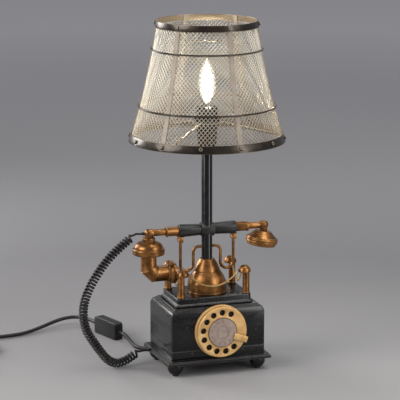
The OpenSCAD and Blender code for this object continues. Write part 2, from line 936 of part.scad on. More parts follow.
// Domed cap of the mouthpiece, with a knob on top and a deep rim
module mouth_cap() {
    r = mouth_cap_d / 2;
    rim_top = mouth_rim_top;
    knob_r = 9.5;
    knob_h = 6;
    knob_foot = mouth_top - knob_h;
    color(GOLD)
        translate([-reach, 0, handset_z])
            difference() {
                rotate_extrude() {
                    translate([0, rim_top - mouth_rim_h])
                        disc_outline(r, mouth_rim_h, 1.8);
                    polygon(concat([[0, rim_top - 1], [r - 2.2, rim_top - 1]],
                        [for (a = [0:15:90]) [knob_r - 1 + (r - 1.2 - knob_r) * cos(a),
                            rim_top + (knob_foot + 0.5 - rim_top) * sin(a)]],
                        [[0, knob_foot + 0.5]]));
                    translate([0, knob_foot])
                        disc_outline(knob_r, knob_h, 1.2);
                }
                translate([0, 0, rim_top - mouth_rim_h - big + horn_lap])
                    cylinder(r = pipe_d / 2 + run_gap, h = big);
            }
}

// Everything ahead of a plane through p that faces angle a, in the XZ plane
module ahead(p, a) {
    translate([p[0], 0, p[1]])
        rotate([0, -a, 0])
            translate([0, -big / 2, -big / 2])
                cube([big, big, big]);
}

// A straight run of pipe from p to q in the XZ plane, cut to face a0 and a1, with a lap past both cuts
module pipe_run(p, q, r, a0, a1, lap) {
    way = unit(q - p);
    a = atan2(way[1], way[0]);
    difference() {
        translate([p[0], 0, p[1]])
            rotate([0, 90 - a, 0])
                translate([0, 0, -2 * r])
                    cylinder(r = r, h = norm(q - p) + 4 * r);
        ahead(p - lap * way, a0 + 180);
        ahead(q + lap * way, a1);
    }
}

// Mitred elbow from the mouth cap to the horn's ring, open at the ring
module horn_elbow() {
    r = pipe_d / 2;
    lap = 0.2;
    bead = 0.4;
    top = [0, mouth_rim_top - mouth_rim_h + horn_lap - seat_gap - lap];
    turn = [0, -horn_drop + horn_bend];
    level = [horn_bend, -horn_drop];
    mouth = [horn_end - lap, -horn_drop];
    color(GOLD)
        translate([-reach, 0, handset_z])
            difference() {
                union() {
                    pipe_run(top, turn, r, -90, -67.5, lap);
                    pipe_run(turn, level, r + bead, -67.5, -22.5, 0);
                    pipe_run(level, mouth, r, -22.5, 0, lap);
                }
                translate([0, 0, -horn_drop])
                    outwards(horn_bend + pipe_wall)
                        cylinder(r = r - pipe_wall, h = big);
            }
}

// Flared ring at the mouth of the horn
module horn_ring() {
    r = pipe_d / 2;
    flare = horn_mouth_d / 2;
    color(GOLD)
        translate([-reach, 0, handset_z - horn_drop])
            outwards(horn_end - horn_lap)
                rotate_extrude()
                    polygon([[r + seat_gap, 0], [r + 1.5, 0], [r + 1.5, 3], [flare, 7], [flare, horn_ring_l],
                        [flare - 2, horn_ring_l], [r - pipe_wall, horn_lap + seat_gap],
                        [r + seat_gap, horn_lap + seat_gap]]);
}

// The ear cap's own frame, tilted, with z along its axis
module on_ear() {
    translate([reach, 0, handset_z])
        rotate([0, ear_tilt, 0])
            children();
}

// Bell of the earpiece: a cone over rings, each given as how far it draws in, its level and its height
module ear_cap() {
    r = ear_cap_d / 2;
    top_r = 12.5;
    rings = [[2.6, ear_bottom, 4.5], [0.6, ear_rim - 5.6, 4], [0, ear_rim - 2, 3.6], [1.2, ear_rim + 0.4, 3]];
    color(GOLD)
        on_ear()
            difference() {
                rotate_extrude() {
                    for (ring = rings)
                        translate([0, ring[1]])
                            disc_outline(r - ring[0], ring[2], 1.4);
                    polygon([[0, ear_rim], [r - 2, ear_rim + 2], [top_r, cap_top - 1], [top_r - 1, cap_top],
                        [0, cap_top]]);
                }
                translate([0, 0, ear_bottom - big + ear_recess])
                    cylinder(r = ear_recess_r, h = big);
            }
}

// Pierced plate in the earpiece
module ear_plate() {
    r = ear_recess_r - seat_gap;
    color(BLACK)
        on_ear()
            translate([0, 0, ear_bottom + 1])
                difference() {
                    cylinder(r = r, h = 3 - seat_gap);
                    for (k = [0:5])
                        rotate([0, 0, 60 * k])
                            translate([r / 2, 0, -1])
                                cylinder(r = 1.6, h = 5);
                    translate([0, 0, -1])
                        cylinder(r = 1.6, h = 5);
                }
}

// Fixed housing of the dial, a cup with a boss for the spindle
module dial_housing() {
    r = dial_d / 2;
    boss_back = 2.2;
    color(PALE_GOLD)
        on_dial()
            difference() {
                union() {
                    difference() {
                        cylinder(r = r, h = housing_t);
                        translate([0, 0, -1])
                            cylinder(r = r - housing_wall, h = housing_t - housing_wall + 1);
                    }
                    translate([0, 0, boss_back])
                        cylinder(r = spindle_r + 5, h = housing_t - boss_back);
                    rotate([0, 0, -stop_angle])
                        translate([r - housing_wall, -stop_w / 2, 0])
                            cube([stop_out - r + housing_wall, stop_w, housing_t]);
                }
                translate([0, 0, -1])
                    cylinder(r = spindle_r + run_gap, h = big);
            }
}

// Black plate behind the finger holes
module number_plate() {
    color(BLACK)
        on_dial()
            translate([0, 0, housing_t])
                difference() {
                    cylinder(r = wheel_d / 2 - 1, h = plate_t);
                    translate([0, 0, -1])
                        cylinder(r = spindle_r + pass_gap, h = plate_t + 2);
                }
}

// Flat coil that brings the wheel back
module return_spring() {
    r0 = spindle_r + 0.4;
    r1 = dial_d / 2 - housing_wall - 0.4;
    steps = 24 * spring_turns;
    line = [for (k = [0:steps]) [r0 + spring_t / 2 + (r1 - r0 - spring_t) * k / steps, 15 * k]];
    edge = [for (p = line) (p[0] + spring_t / 2) * [cos(p[1]), sin(p[1])]];
    back = [for (k = [steps:-1:0]) (line[k][0] - spring_t / 2) * [cos(line[k][1]), sin(line[k][1])]];
    color(STEEL)
        on_dial()
            translate([0, 0, 0.3])
                linear_extrude(height = 1.6)
                    polygon(concat(edge, back));
}

// Bar that stops the finger
module finger_stop() {
    color(PALE_GOLD)
        on_dial()
            rotate([0, 0, -stop_angle]) {
                translate([stop_in, -stop_w / 2, stop_back])
                    cube([stop_out - stop_in, stop_w, stop_t]);
                translate([stop_leg, -stop_w / 2, housing_t])
                    cube([stop_out - stop_leg, stop_w, stop_back + stop_t - housing_t]);
            }
}

// Wheel with the finger holes
module finger_wheel() {
    r = wheel_d / 2;
    color(PALE_GOLD)
        on_dial()
            difference() {
                translate([0, 0, wheel_back])
                    rotate_extrude()
                        disc_outline(r, wheel_t, 1);
                for (k = [0:hole_count - 1])
                    rotate([0, 0, first_hole + hole_step * k])
                        translate([hole_ring, 0, 0])
                            cylinder(d = hole_d, h = big);
                cylinder(r = spindle_r + run_gap, h = big);
            }
}

// Grey disc in the middle of the wheel
module centre_disc() {
    color([0.6, 0.56, 0.56])
        on_dial()
            translate([0, 0, wheel_face])
                rotate_extrude()
                    disc_outline(disc_d / 2, disc_t, 0.4);
}

// Spindle of the wheel, with the clip's groove
module dial_spindle() {
    color(STEEL)
        on_dial()
            difference() {
                translate([0, 0, -case_wall - 5])
                    cylinder(r = spindle_r, h = case_wall + 5 + wheel_face);
                translate([0, 0, -case_wall - seat_gap - clip_t - seat_gap])
                    difference() {
                        cylinder(r = spindle_d, h = clip_t + seat_gap);
                        translate([0, 0, -1])
                            cylinder(r = spindle_r - 1, h = clip_t + 3);
                    }
            }
}

// Clip that keeps the spindle in the case wall
module spindle_clip() {
    color(STEEL)
        on_dial()
            translate([0, 0, -case_wall - seat_gap - clip_t])
                difference() {
                    cylinder(r = spindle_r + 3, h = clip_t - seat_gap / 2);
                    translate([0, 0, -1])
                        cylinder(r = spindle_r - 1 + run_gap, h = clip_t + 2);
                }
}

// Lower cap of the lampholder, on the pole
module holder_cap() {
    r0 = holder_d / 2;
    r1 = sleeve_r - 1;
    color(BLACK)
        translate([0, 0, z_holder])
            difference() {
                cylinder(r1 = r0, r2 = r1, h = holder_cap_h);
                translate([0, 0, -1])
                    cylinder(r = pole_r + run_gap, h = pole_lap + 1);
                cylinder(d = pole_bore, h = big);
                translate([0, 0, pole_lap + 3])
                    cylinder(r = r0 - 2.5, h = big);
            }
}

// Sleeve of the lampholder, with the seat for the shade
module holder_sleeve() {
    seat_t = 3;
    well = screw_len + 1;
    color(BLACK)
        difference() {
            union() {
                translate([0, 0, z_cap_top])
                    cylinder(r = sleeve_r - 0.5, h = seat_h);
                translate([0, 0, z_seat - seat_t])
                    cylinder(r = sleeve_r + 2.5, h = seat_t);
                translate([0, 0, z_seat])
                    cylinder(r = sleeve_r, h = sleeve_h);
            }
            translate([0, 0, z_mouth - well])
                cylinder(r = screw_d / 2 + seat_gap, h = well + 1);
        }
}

// Threaded ring that clamps the shade on its seat
module shade_ring() {
    color(BLACK)
        translate([0, 0, z_seat + hub_t + 2 * seat_gap])
            difference() {
                cylinder(r = sleeve_r + 3.5, h = ring_h);
                translate([0, 0, -1])
                    cylinder(r = sleeve_r + run_gap, h = ring_h + 2);
            }
}

// Screw cap of the bulb
module bulb_screw() {
    color(STEEL)
        translate([0, 0, z_mouth - screw_len]) {
            cylinder(d = screw_d, h = screw_len);
            translate([0, 0, -seat_gap - 0.7])
                cylinder(d = 5, h = 2);
        }
}

// Outline of the candle bulb, up from its screw cap
module bulb_outline(r, h, foot) {
    belly = 0.36 * h;
    intersection() {
        union() {
            arc_wall([foot, 0], [r, belly], (r - foot) * 0.12, r);
            arc_wall([r, belly - 0.01], [0.6, h], r * 0.2, r);
            square([foot, belly]);
        }
        square([big, h]);
    }
}

// Glass of the bulb
module bulb_glass() {
    foot = screw_d / 2 - 0.6;
    color([1, 1, 0.95, 0.5])
        translate([0, 0, z_mouth])
            difference() {
                rotate_extrude()
                    bulb_outline(bulb_d / 2, bulb_h, foot);
                translate([0, 0, glass_t])
                    rotate_extrude()
                        bulb_outline(bulb_d / 2 - glass_t, bulb_h - 3 * glass_t, foot - glass_t);
            }
}

// Stem and filament inside the bulb
module bulb_filament() {
    stem_h = 16;
    wire_h = 22;
    spread = 4;
    color([1, 0.85, 0.5])
        translate([0, 0, z_mouth + glass_t + seat_gap]) {
            cylinder(r = 2.6, h = stem_h);
            for (i = [-1, 1])
                translate([i * spread, 0, stem_h - 2])
                    cylinder(r = 0.5, h = wire_h);
            translate([-spread, 0, stem_h - 2 + wire_h / 2])
                rotate([0, 90, 0])
                    cylinder(r = 0.6, h = 2 * spread);
            translate([-spread, 0, stem_h - 1])
                rotate([0, 90, 0])
                    cylinder(r = 0.9, h = 2 * spread);
        }
}

// Inner radius and height of the shade's side, from 0 at the top to 1 at the bottom
function side_r(u) = mesh_top_r + (mesh_bottom_r - mesh_top_r) * u - 4 * shade_sag * u * (1 - u);
function side_z(u) = z_top - shade_h * u;
function side_slope(u) = atan2((mesh_bottom_r - mesh_top_r - 4 * shade_sag * (1 - 2 * u)), shade_h);

// Half outline of a layer of the shade's side, from u0 to u1, between two offsets from the mesh
module side_layer(u0, u1, a, b, steps) {
    us = [for (k = [0:steps]) u0 + (u1 - u0) * k / steps];
    polygon(concat([for (u = us) [side_r(u) + a, side_z(u)]],
        [for (k = [steps:-1:0]) [side_r(us[k]) + b, side_z(us[k])]]));
}

// Six panels of diamond mesh, which butt behind the uprights
module shade_mesh() {
    gap = 0.4;
    margin = 4;
    panel = 360 / upright_count;
    u0 = 0.01;
    u1 = 0.99;
    column = (panel - margin) / mesh_columns;
    row = (u1 - u0) / (mesh_rows + 1);
    color(MESH)
        for (p = [0:upright_count - 1])
            rotate([0, 0, upright_angle + panel * p + gap / 2])
                difference() {
                    rotate_extrude(angle = panel - gap)
                        side_layer(u0, u1, 0, mesh_t, side_steps);
                    for (k = [1:mesh_rows], c = [0:mesh_columns - 1 - k % 2]) {
                        u = u0 + row * k;
                        a = (margin - gap) / 2 + column * (c + 0.5 + (k % 2) / 2);
                        w = side_r(u) * column * PI / 180 - strand_w;
                        h = 2 * row * shade_h - 1.4 * strand_w;
                        rotate([0, 0, a])
                            translate([side_r(u) - 8, 0, side_z(u)])
                                rotate([90, 0, 90])
                                    linear_extrude(height = 16)
                                        polygon([[-w / 2, 0], [0, -h / 2], [w / 2, 0], [0, h / 2]]);
                    }
                }
}

// Share of the shade's height taken by the two bands
top_band_u = top_band_h / shade_h;
bottom_band_u = 1 - bottom_band_h / shade_h;
band_in = side_t - band_t;

// Places of the rivets: share of the height, and angle
rivet_places = concat(
    [for (k = [0:upright_count - 1]) [top_band_u / 2, upright_angle + 360 / upright_count * k]],
    [for (k = [0:bottom_rivets - 1]) [(1 + bottom_band_u) / 2, upright_angle + 360 / bottom_rivets * k]]);

// A rivet's own frame: z out of the band's face
module on_band(place) {
    u = place[0];
    rotate([0, 0, place[1]])
        translate([side_r(u) + side_t + run_gap, 0, side_z(u)])
            rotate([0, 90 - side_slope(u), 0])
                children();
}

// Top and bottom bands, drilled for the rivets
module shade_bands() {
    color(BRONZE)
        difference() {
            rotate_extrude() {
                side_layer(0, top_band_u, band_in, side_t, 1);
                side_layer(bottom_band_u, 1, band_in, side_t, 1);
            }
            for (place = rivet_places)
                on_band(place)
                    translate([0, 0, -2 * band_t])
                        cylinder(r = shank_r + run_gap, h = 4 * band_t);
        }
}

// Wire hoops round the uprights
module shade_hoops() {
    color(BRONZE)
        for (u = hoop_at)
            translate([0, 0, side_z(u)])
                rotate_extrude()
                    translate([side_r(u) + upright_out + seat_gap + hoop_d / 2, 0])
                        circle(d = hoop_d);
}

// Flat strips up the side
module shade_uprights() {
    color([0.72, 0.66, 0.56])
        intersection() {
            rotate_extrude()
                side_layer(0.005, 0.995, upright_in, upright_out, side_steps);
            for (k = [0:upright_count / 2 - 1])
                rotate([0, 0, upright_angle + 360 / upright_count * k])
                    translate([-big / 2, -upright_w / 2, z_bottom])
                        cube([big, upright_w, shade_h]);
        }
}

// Rivets round the bands
module shade_rivets() {
    color(BRONZE)
        for (place = rivet_places)
            on_band(place) {
                cylinder(d1 = rivet_d, d2 = rivet_d - 1.6, h = rivet_h);
                translate([0, 0, -band_t])
                    cylinder(r = shank_r, h = band_t + 0.5);
            }
}

// Ring and arms that carry the shade on the lampholder
module shade_spider() {
    hub_in = sleeve_r + 0.3;
    hub_out = sleeve_r + 6;
    u = (1 + bottom_band_u) / 2 - 0.005;
    z0 = z_seat + seat_gap + hub_t / 2;
    drop = z0 - side_z(u);
    run = side_r(u) - hub_out + 1.5;
    slope = atan2(drop, run);
    color(MESH)
        difference() {
            union() {
                translate([0, 0, z_seat + seat_gap])
                    cylinder(r = hub_out, h = hub_t);
                for (k = [0:arm_count - 1])
                    rotate([0, 0, upright_angle + arm_turn + 360 / arm_count * k])
                        translate([hub_out - 1.5, 0, z0])
                            rotate([0, 90 + slope, 0])
                                cylinder(d = arm_d, h = norm([drop, run]) - arm_d / 2);
            }
            translate([0, 0, z_seat - 1])
                cylinder(r = hub_in, h = 2 * ring_h);
            translate([0, 0, z_seat + seat_gap + hub_t])
                cylinder(r = sleeve_r + 4, h = ring_h + 1);
        }
}

// Lead inside the case and up the pole
module inner_lead() {
    inside = case_d / 2 - case_wall - 3;
    d = 5;
    color(CORD)
        tube([[gland_x, inside, gland_z], [gland_x, inside - 6, gland_z], [18, 28, 31.5], [14, 18, 36],
            [9, 9.5, 43.5], [4.5, 4, 52.5], [1.5, 1, 62], [0.3, 0.2, 72], [0, 0, z_wall], [0, 0, z_tier],
            [0, 0, (z_tier + z_holder) / 2], [0, 0, z_holder + pole_lap + 6]], d, 8);
}

// Radius of the mains lead's gland in the wall
function gland_r() = lead_d / 2 + 2;

// Gland and tapered strain relief of the mains lead
module lead_gland() {
    color(CORD)
        translate([gland_x, case_d / 2, gland_z])
            rotate([-90, 0, 0]) {
                translate([0, 0, -case_wall - 3])
                    cylinder(r = gland_r(), h = case_wall + 4);
                cylinder(r = gland_r() + gland_collar, h = 2);
                cylinder(r1 = gland_r() + 0.4, r2 = lead_d / 2 + 0.7, h = gland_l);
            }
}

// Bushes at the two ends of the curly cord, set into the knuckle and the plinth
module curly_bushes() {
    color(CORD)
        for (at = [curly_out, curly_in])
            translate(at)
                outwards(seat_gap)
                    cylinder(r = bush_r, h = bush_l + bush_seat);
}

// Hole for a bush of the curly cord
module bush_hole(at) {
    translate(at)
        outwards(0)
            cylinder(r = bush_r + run_gap, h = bush_l + bush_seat + 2 * seat_gap);
}

// Curly cord: a helix wound round its smooth route, straight at both ends
curl_r = (curl_od - curly_d) / 2;
curl_rings = 8;
curly_line = curve(curly_route, 8);
curly_len = lengths(curly_line);
curly_total = curly_len[len(curly_len) - 1];
curly_straight = 2 * curly_d;
curly_x = [for (i = [0:len(curly_line) - 1]) [curly_len[i], curly_line[i][0]]];
curly_yy = [for (i = [0:len(curly_line) - 1]) [curly_len[i], curly_line[i][1]]];
curly_zz = [for (i = [0:len(curly_line) - 1]) [curly_len[i], curly_line[i][2]]];
function curly_at(s) = [lookup(s, curly_x), lookup(s, curly_yy), lookup(s, curly_zz)];
function curly_heading(s) = unit(curly_at(min(s + 2, curly_total)) - curly_at(max(s - 2, 0)));
function ramp(x) = min(1, max(0, x));
function wound(s, a) = let (t = curly_heading(s), b = unit(cross(t, [0, 1, 0])), n = cross(b, t),
    in = ramp((s - curly_straight) / 6), out = ramp((curly_total - curly_straight - s) / 6))
    curly_at(s) + curl_r * min(in, out) * (cos(a) * b + sin(a) * n);
curly_steps = curl_count * curl_rings;
curly_points = concat([curly_at(0), curly_at(curly_straight / 2)],
    [for (k = [0:curly_steps]) let (s = curly_straight + (curly_total - 2 * curly_straight) * k / curly_steps)
        wound(s, 90 + 360 * k / curl_rings)],
    [curly_at(curly_total - curly_straight / 2), curly_at(curly_total)]);

module curly_cord() {
    echo(curly_gap = least_gap(curly_points, curly_d, curl_rings - 3, curl_rings + 3));
    color(CORD)
        tube(curly_points, curly_d, 6);
}

// Mains lead from the gland to the switch
module lead_to_switch() {
    color(CORD)
        tube(switch_route, lead_d, 10);
}

// The switch's own frame: x along the box, y towards its plain side, standing on its edge
module on_switch() {
    translate([switch_at[0], switch_at[1], switch_h / 2])
        rotate([0, 0, switch_angle])
            children();
}

// A board of the switch's outline, from y0 to y1 across its thickness
module switch_board(l, h, y0, y1, r) {
    translate([0, y1, 0])
        rotate([90, 0, 0])
            board(l, h, y1 - y0, r);
}

switch_r = 4;
rocker_l = 18;
rocker_h = 11;
window_l = rocker_l + 2.5;
window_h = rocker_h + 1;
pivot_y = -switch_t / 2 + 2.8;
pivot_r = 1.5;

// Half of the switch box with the rocker's window
module switch_base() {
    color(CORD)
        on_switch()
            difference() {
                union() {
                    difference() {
                        switch_board(switch_l, switch_h, -switch_t / 2, 0, switch_r);
                        switch_board(switch_l - 2 * switch_wall, switch_h - 2 * switch_wall,
                            -switch_t / 2 + switch_wall, 1, switch_r - switch_wall);
                    }
                    translate([-window_l / 2 - 2, -switch_t / 2 + 1, -window_h / 2 - 2.5])
                        cube([window_l + 4, switch_t / 2 - 1, window_h + 5]);
                }
                translate([-window_l / 2, -switch_t, -window_h / 2])
                    cube([window_l, 2 * switch_t, window_h]);
                translate([0, pivot_y, -window_h / 2 - 2])
                    cylinder(r = pivot_r + run_gap, h = window_h + 4);
            }
}

// Plain half of the switch box
module switch_cover() {
    color(CORD)
        on_switch()
            difference() {
                switch_board(switch_l, switch_h, 0, switch_t / 2, switch_r);
                switch_board(switch_l - 2 * switch_wall, switch_h - 2 * switch_wall,
                    -1, switch_t / 2 - switch_wall, switch_r - switch_wall);
            }
}

// Rocker, resting with one end pressed in
module switch_rocker() {
    l = rocker_l / 2;
    face = -switch_t / 2 - pivot_y;
    color("black")
        on_switch()
            translate([0, pivot_y, 0])
                rotate([0, 0, -rock_angle / 2]) {
                    translate([0, 0, -rocker_h / 2])
                        linear_extrude(height = rocker_h)
                            polygon([[-l, face - 2], [0, face - 0.2], [l, face - 2], [l, -1],
                                [3, 2.4], [-3, 2.4], [-l, -1]]);
                    translate([0, 0, -window_h / 2 - 1.6])
                        cylinder(r = pivot_r, h = window_h + 3.2);
                }
}

// Mains lead from the switch to the coil
module lead_to_coil() {
    color(CORD)
        tube(coil_route, lead_d, 10);
}

// The spare lead, coiled: in along the table, over, and out again on top
coil_rings = 24;
turns_all = coil_turns_in + 0.5 + coil_turns_out;
function coil_radius(n) = n < coil_turns_in ? coil_out_r - coil_pitch * n
    : n < coil_turns_in + 0.25 ? coil_in_r - coil_pitch * (n - coil_turns_in)
    : n < coil_turns_in + 0.5 ? coil_in_r - coil_pitch * (coil_turns_in + 0.5 - n)
    : coil_in_r + coil_pitch * (n - coil_turns_in - 0.5);
function coil_height(n) = coil_z + coil_pitch * (1 - cos(180 * ramp((n - coil_turns_in) * 2))) / 2;
function coil_point(n) = let (r = coil_radius(n), a = 90 + 360 * n)
    [coil_at[0] + r * cos(a), coil_at[1] + r * sin(a), coil_height(n)];
coil_steps = ceil(turns_all * coil_rings);
coil_loops = [for (k = [0:coil_steps]) coil_point(turns_all * k / coil_steps)];
coil_end = coil_point(turns_all);
coil_leave = 90 + 360 * turns_all + 90;
tail_way = [cos(coil_leave), sin(coil_leave), 0];
tail_end = [coil_end[0], coil_end[1], plug_z] + tail_l * tail_way;
coil_tail = [for (k = [1:4]) [coil_end[0], coil_end[1], coil_end[2] + (plug_z - coil_end[2]) * k / 4]
    + (tail_l - lead_d) * k / 4 * tail_way];
coil_points = concat([coil_start, coil_start - [lead_d, 0, 0]], coil_loops, coil_tail, [tail_end]);

module cord_coil() {
    echo(coil_gap = least_gap(coil_points, lead_d, coil_rings - 6, len(coil_points)));
    color(CORD)
        tube(coil_points, lead_d, 6);
}

// Strap round the coil
module cord_tie() {
    strap = 0.6;
    w = 9;
    r0 = coil_in_r - coil_pitch - lead_d / 2;
    r1 = coil_out_r + lead_d / 2 + 1;
    h = coil_lift + 2 * lead_d + coil_pitch - lead_d + 0.6;
    color("dimgray")
        translate([coil_at[0], coil_at[1], 0])
            rotate([0, 0, -40])
                difference() {
                    translate([r0 - strap, -w / 2, 0])
                        cube([r1 - r0 + 2 * strap, w, h + strap]);
                    translate([r0, -w, strap])
                        cube([r1 - r0, 2 * w, h - strap]);
                }
}

plug_l = 34;
plug_w = 34;
plug_neck = 20;

// The plug's own frame: x towards its pins
module on_plug() {
    translate(tail_end)
        rotate([0, 0, coil_leave])
            children();
}

// Flat body of the plug with its strain relief
module plug_body() {
    color(CORD)
        on_plug() {
            outwards(0)
                cylinder(r1 = lead_d / 2 + 0.8, r2 = lead_d / 2 + 2.2, h = plug_neck);
            translate([plug_neck - 2, 0, -plug_t / 2])
                linear_extrude(height = plug_t)
                    polygon([[0, -5.5], [plug_l * 0.55, -plug_w / 2], [plug_l, -plug_w / 2],
                        [plug_l, plug_w / 2], [plug_l * 0.55, plug_w / 2], [0, 5.5]]);
        }
}

// Round pins of the plug
module plug_pins() {
    color(STEEL)
        on_plug()
            for (i = [-1, 1])
                translate([0, i * pin_gap / 2, 0])
                    outwards(plug_neck - 2 + plug_l)
                        cylinder(d = pin_d, h = pin_l);
}

foot_pads();
ball_feet();
foot_screws();
plinth();
lower_tray();
upper_case();
top_tier();
pole();
pole_nut();
bell_drum();
bell_skirt();
bell_dome();
posts();
post_caps();
rope_swags();
cradle_wires();
cradle_lugs();
handset_sleeve();
handset_grips();
ferrules();
handset_tubes();
knuckles();
mouth_cap();
horn_elbow();
horn_ring();
ear_cap();
ear_plate();
dial_housing();
number_plate();
return_spring();
finger_stop();
finger_wheel();
centre_disc();
dial_spindle();
spindle_clip();
holder_cap();
holder_sleeve();
shade_ring();
bulb_screw();
bulb_glass();
bulb_filament();
shade_mesh();
shade_bands();
shade_hoops();
shade_uprights();
shade_rivets();
shade_spider();
inner_lead();
lead_gland();
curly_bushes();
curly_cord();
lead_to_switch();
switch_base();
switch_cover();
switch_rocker();
lead_to_coil();
cord_coil();
cord_tie();
plug_body();
plug_pins();
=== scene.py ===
# %% [markdown]
# # A table lamp shaped as an old desk telephone
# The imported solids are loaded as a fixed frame. Each visible piece is then dressed: its edges are
# rounded, its finish is mixed from nodes, and the thin things that solids only outline (wire mesh, ropes,
# cords) are made in full. Everything is in metres, with the origin on the table under the pole.

# %% Load the frame
import json
import math

import bmesh
import bpy
import numpy as np
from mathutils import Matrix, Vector


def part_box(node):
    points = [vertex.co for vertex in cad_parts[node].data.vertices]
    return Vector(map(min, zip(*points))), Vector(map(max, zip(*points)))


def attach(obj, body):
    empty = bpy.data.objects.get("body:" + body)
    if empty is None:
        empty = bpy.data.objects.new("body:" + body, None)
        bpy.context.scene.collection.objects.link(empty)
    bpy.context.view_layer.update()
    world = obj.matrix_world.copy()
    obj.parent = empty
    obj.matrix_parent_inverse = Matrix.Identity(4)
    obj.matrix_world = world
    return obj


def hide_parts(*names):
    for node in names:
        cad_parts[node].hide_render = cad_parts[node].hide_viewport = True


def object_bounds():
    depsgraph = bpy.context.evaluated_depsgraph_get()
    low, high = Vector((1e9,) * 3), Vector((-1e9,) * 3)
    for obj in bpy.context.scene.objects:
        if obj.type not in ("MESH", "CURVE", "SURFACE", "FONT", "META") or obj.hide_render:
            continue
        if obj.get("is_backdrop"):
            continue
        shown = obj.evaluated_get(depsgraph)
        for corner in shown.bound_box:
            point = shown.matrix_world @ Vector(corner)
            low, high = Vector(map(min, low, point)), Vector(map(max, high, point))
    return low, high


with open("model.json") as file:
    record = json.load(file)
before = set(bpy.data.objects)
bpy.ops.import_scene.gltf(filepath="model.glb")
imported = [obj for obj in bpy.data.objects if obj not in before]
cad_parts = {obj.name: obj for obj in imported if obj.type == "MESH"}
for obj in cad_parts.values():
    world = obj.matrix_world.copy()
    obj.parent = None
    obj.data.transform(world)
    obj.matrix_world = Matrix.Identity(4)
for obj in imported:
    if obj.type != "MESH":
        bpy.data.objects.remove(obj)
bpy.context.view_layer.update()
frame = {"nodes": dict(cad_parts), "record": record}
scene = bpy.context.scene
scene.view_settings.view_transform = "Standard"
body_of_node = {n: b for b, ns in frame["record"]["behaviour"]["bodies"].items() for n in ns}
slot_of_node = {p["node"]: p["material_slot"] for p in frame["record"]["subparts"]}
MM = 0.001

# %% [markdown]
# ## The camera
# The photograph was taken with a long lens from a little to the left and a little above. A camera was
# fitted to the corners of the box and the rims of the shade, and its place is set here as an angle and a
# distance from the point it looks at, because those are easier to read than a matrix.

# %% Camera
AZIMUTH, ELEVATION, DISTANCE = math.radians(-18.86), math.radians(12.09), 2.79144
LOOKS_AT = Vector((-0.00932, 0.00318, 0.24217))
SENSOR_MM, LENS_MM, SEES_TO = 36.0, 176.13, 100
towards_camera = Vector((math.sin(AZIMUTH) * math.cos(ELEVATION),
                         -math.cos(AZIMUTH) * math.cos(ELEVATION), math.sin(ELEVATION)))
camera = bpy.data.objects.new("camera", bpy.data.cameras.new("camera"))
camera.data.sensor_width, camera.data.lens, camera.data.clip_end = SENSOR_MM, LENS_MM, SEES_TO
camera.location = LOOKS_AT + DISTANCE * towards_camera
camera.rotation_mode = "QUATERNION"
camera.rotation_quaternion = (-towards_camera).to_track_quat("-Z", "Y")
scene.collection.objects.link(camera)
scene.camera = camera
print("camera at", [round(x, 3) for x in camera.location])

# %% [markdown]
# ## Finishes as sums
# A finish is a small tree of nodes. Wiring it by hand hides the idea, so a socket is wrapped in a class
# that knows how to add and multiply: an expression such as `1 - mask` then makes its Math node by itself.
# Every other node comes from one method that takes its type, its settings and its sockets.

# %% Helpers for finishes
class Wire:
    """An output socket that can be used in a sum."""

    def __init__(self, finish, socket):
        self.finish, self.socket = finish, socket

    def maths(self, operation, a, b):
        return self.finish.node("ShaderNodeMath", {"operation": operation}, {0: a, 1: b})

    def __add__(self, other):
        return self.maths("ADD", self, other)

    def __rsub__(self, other):
        return self.maths("SUBTRACT", other, self)

    def __mul__(self, other):
        return self.maths("MULTIPLY", self, other)

    __radd__ = __add__
    __rmul__ = __mul__

    def above(self, low, high):
        """0 below low, 1 above high, and a straight rise between."""
        sockets = {"Value": self, "From Min": low, "From Max": high}
        return self.finish.node("ShaderNodeMapRange", {}, sockets)


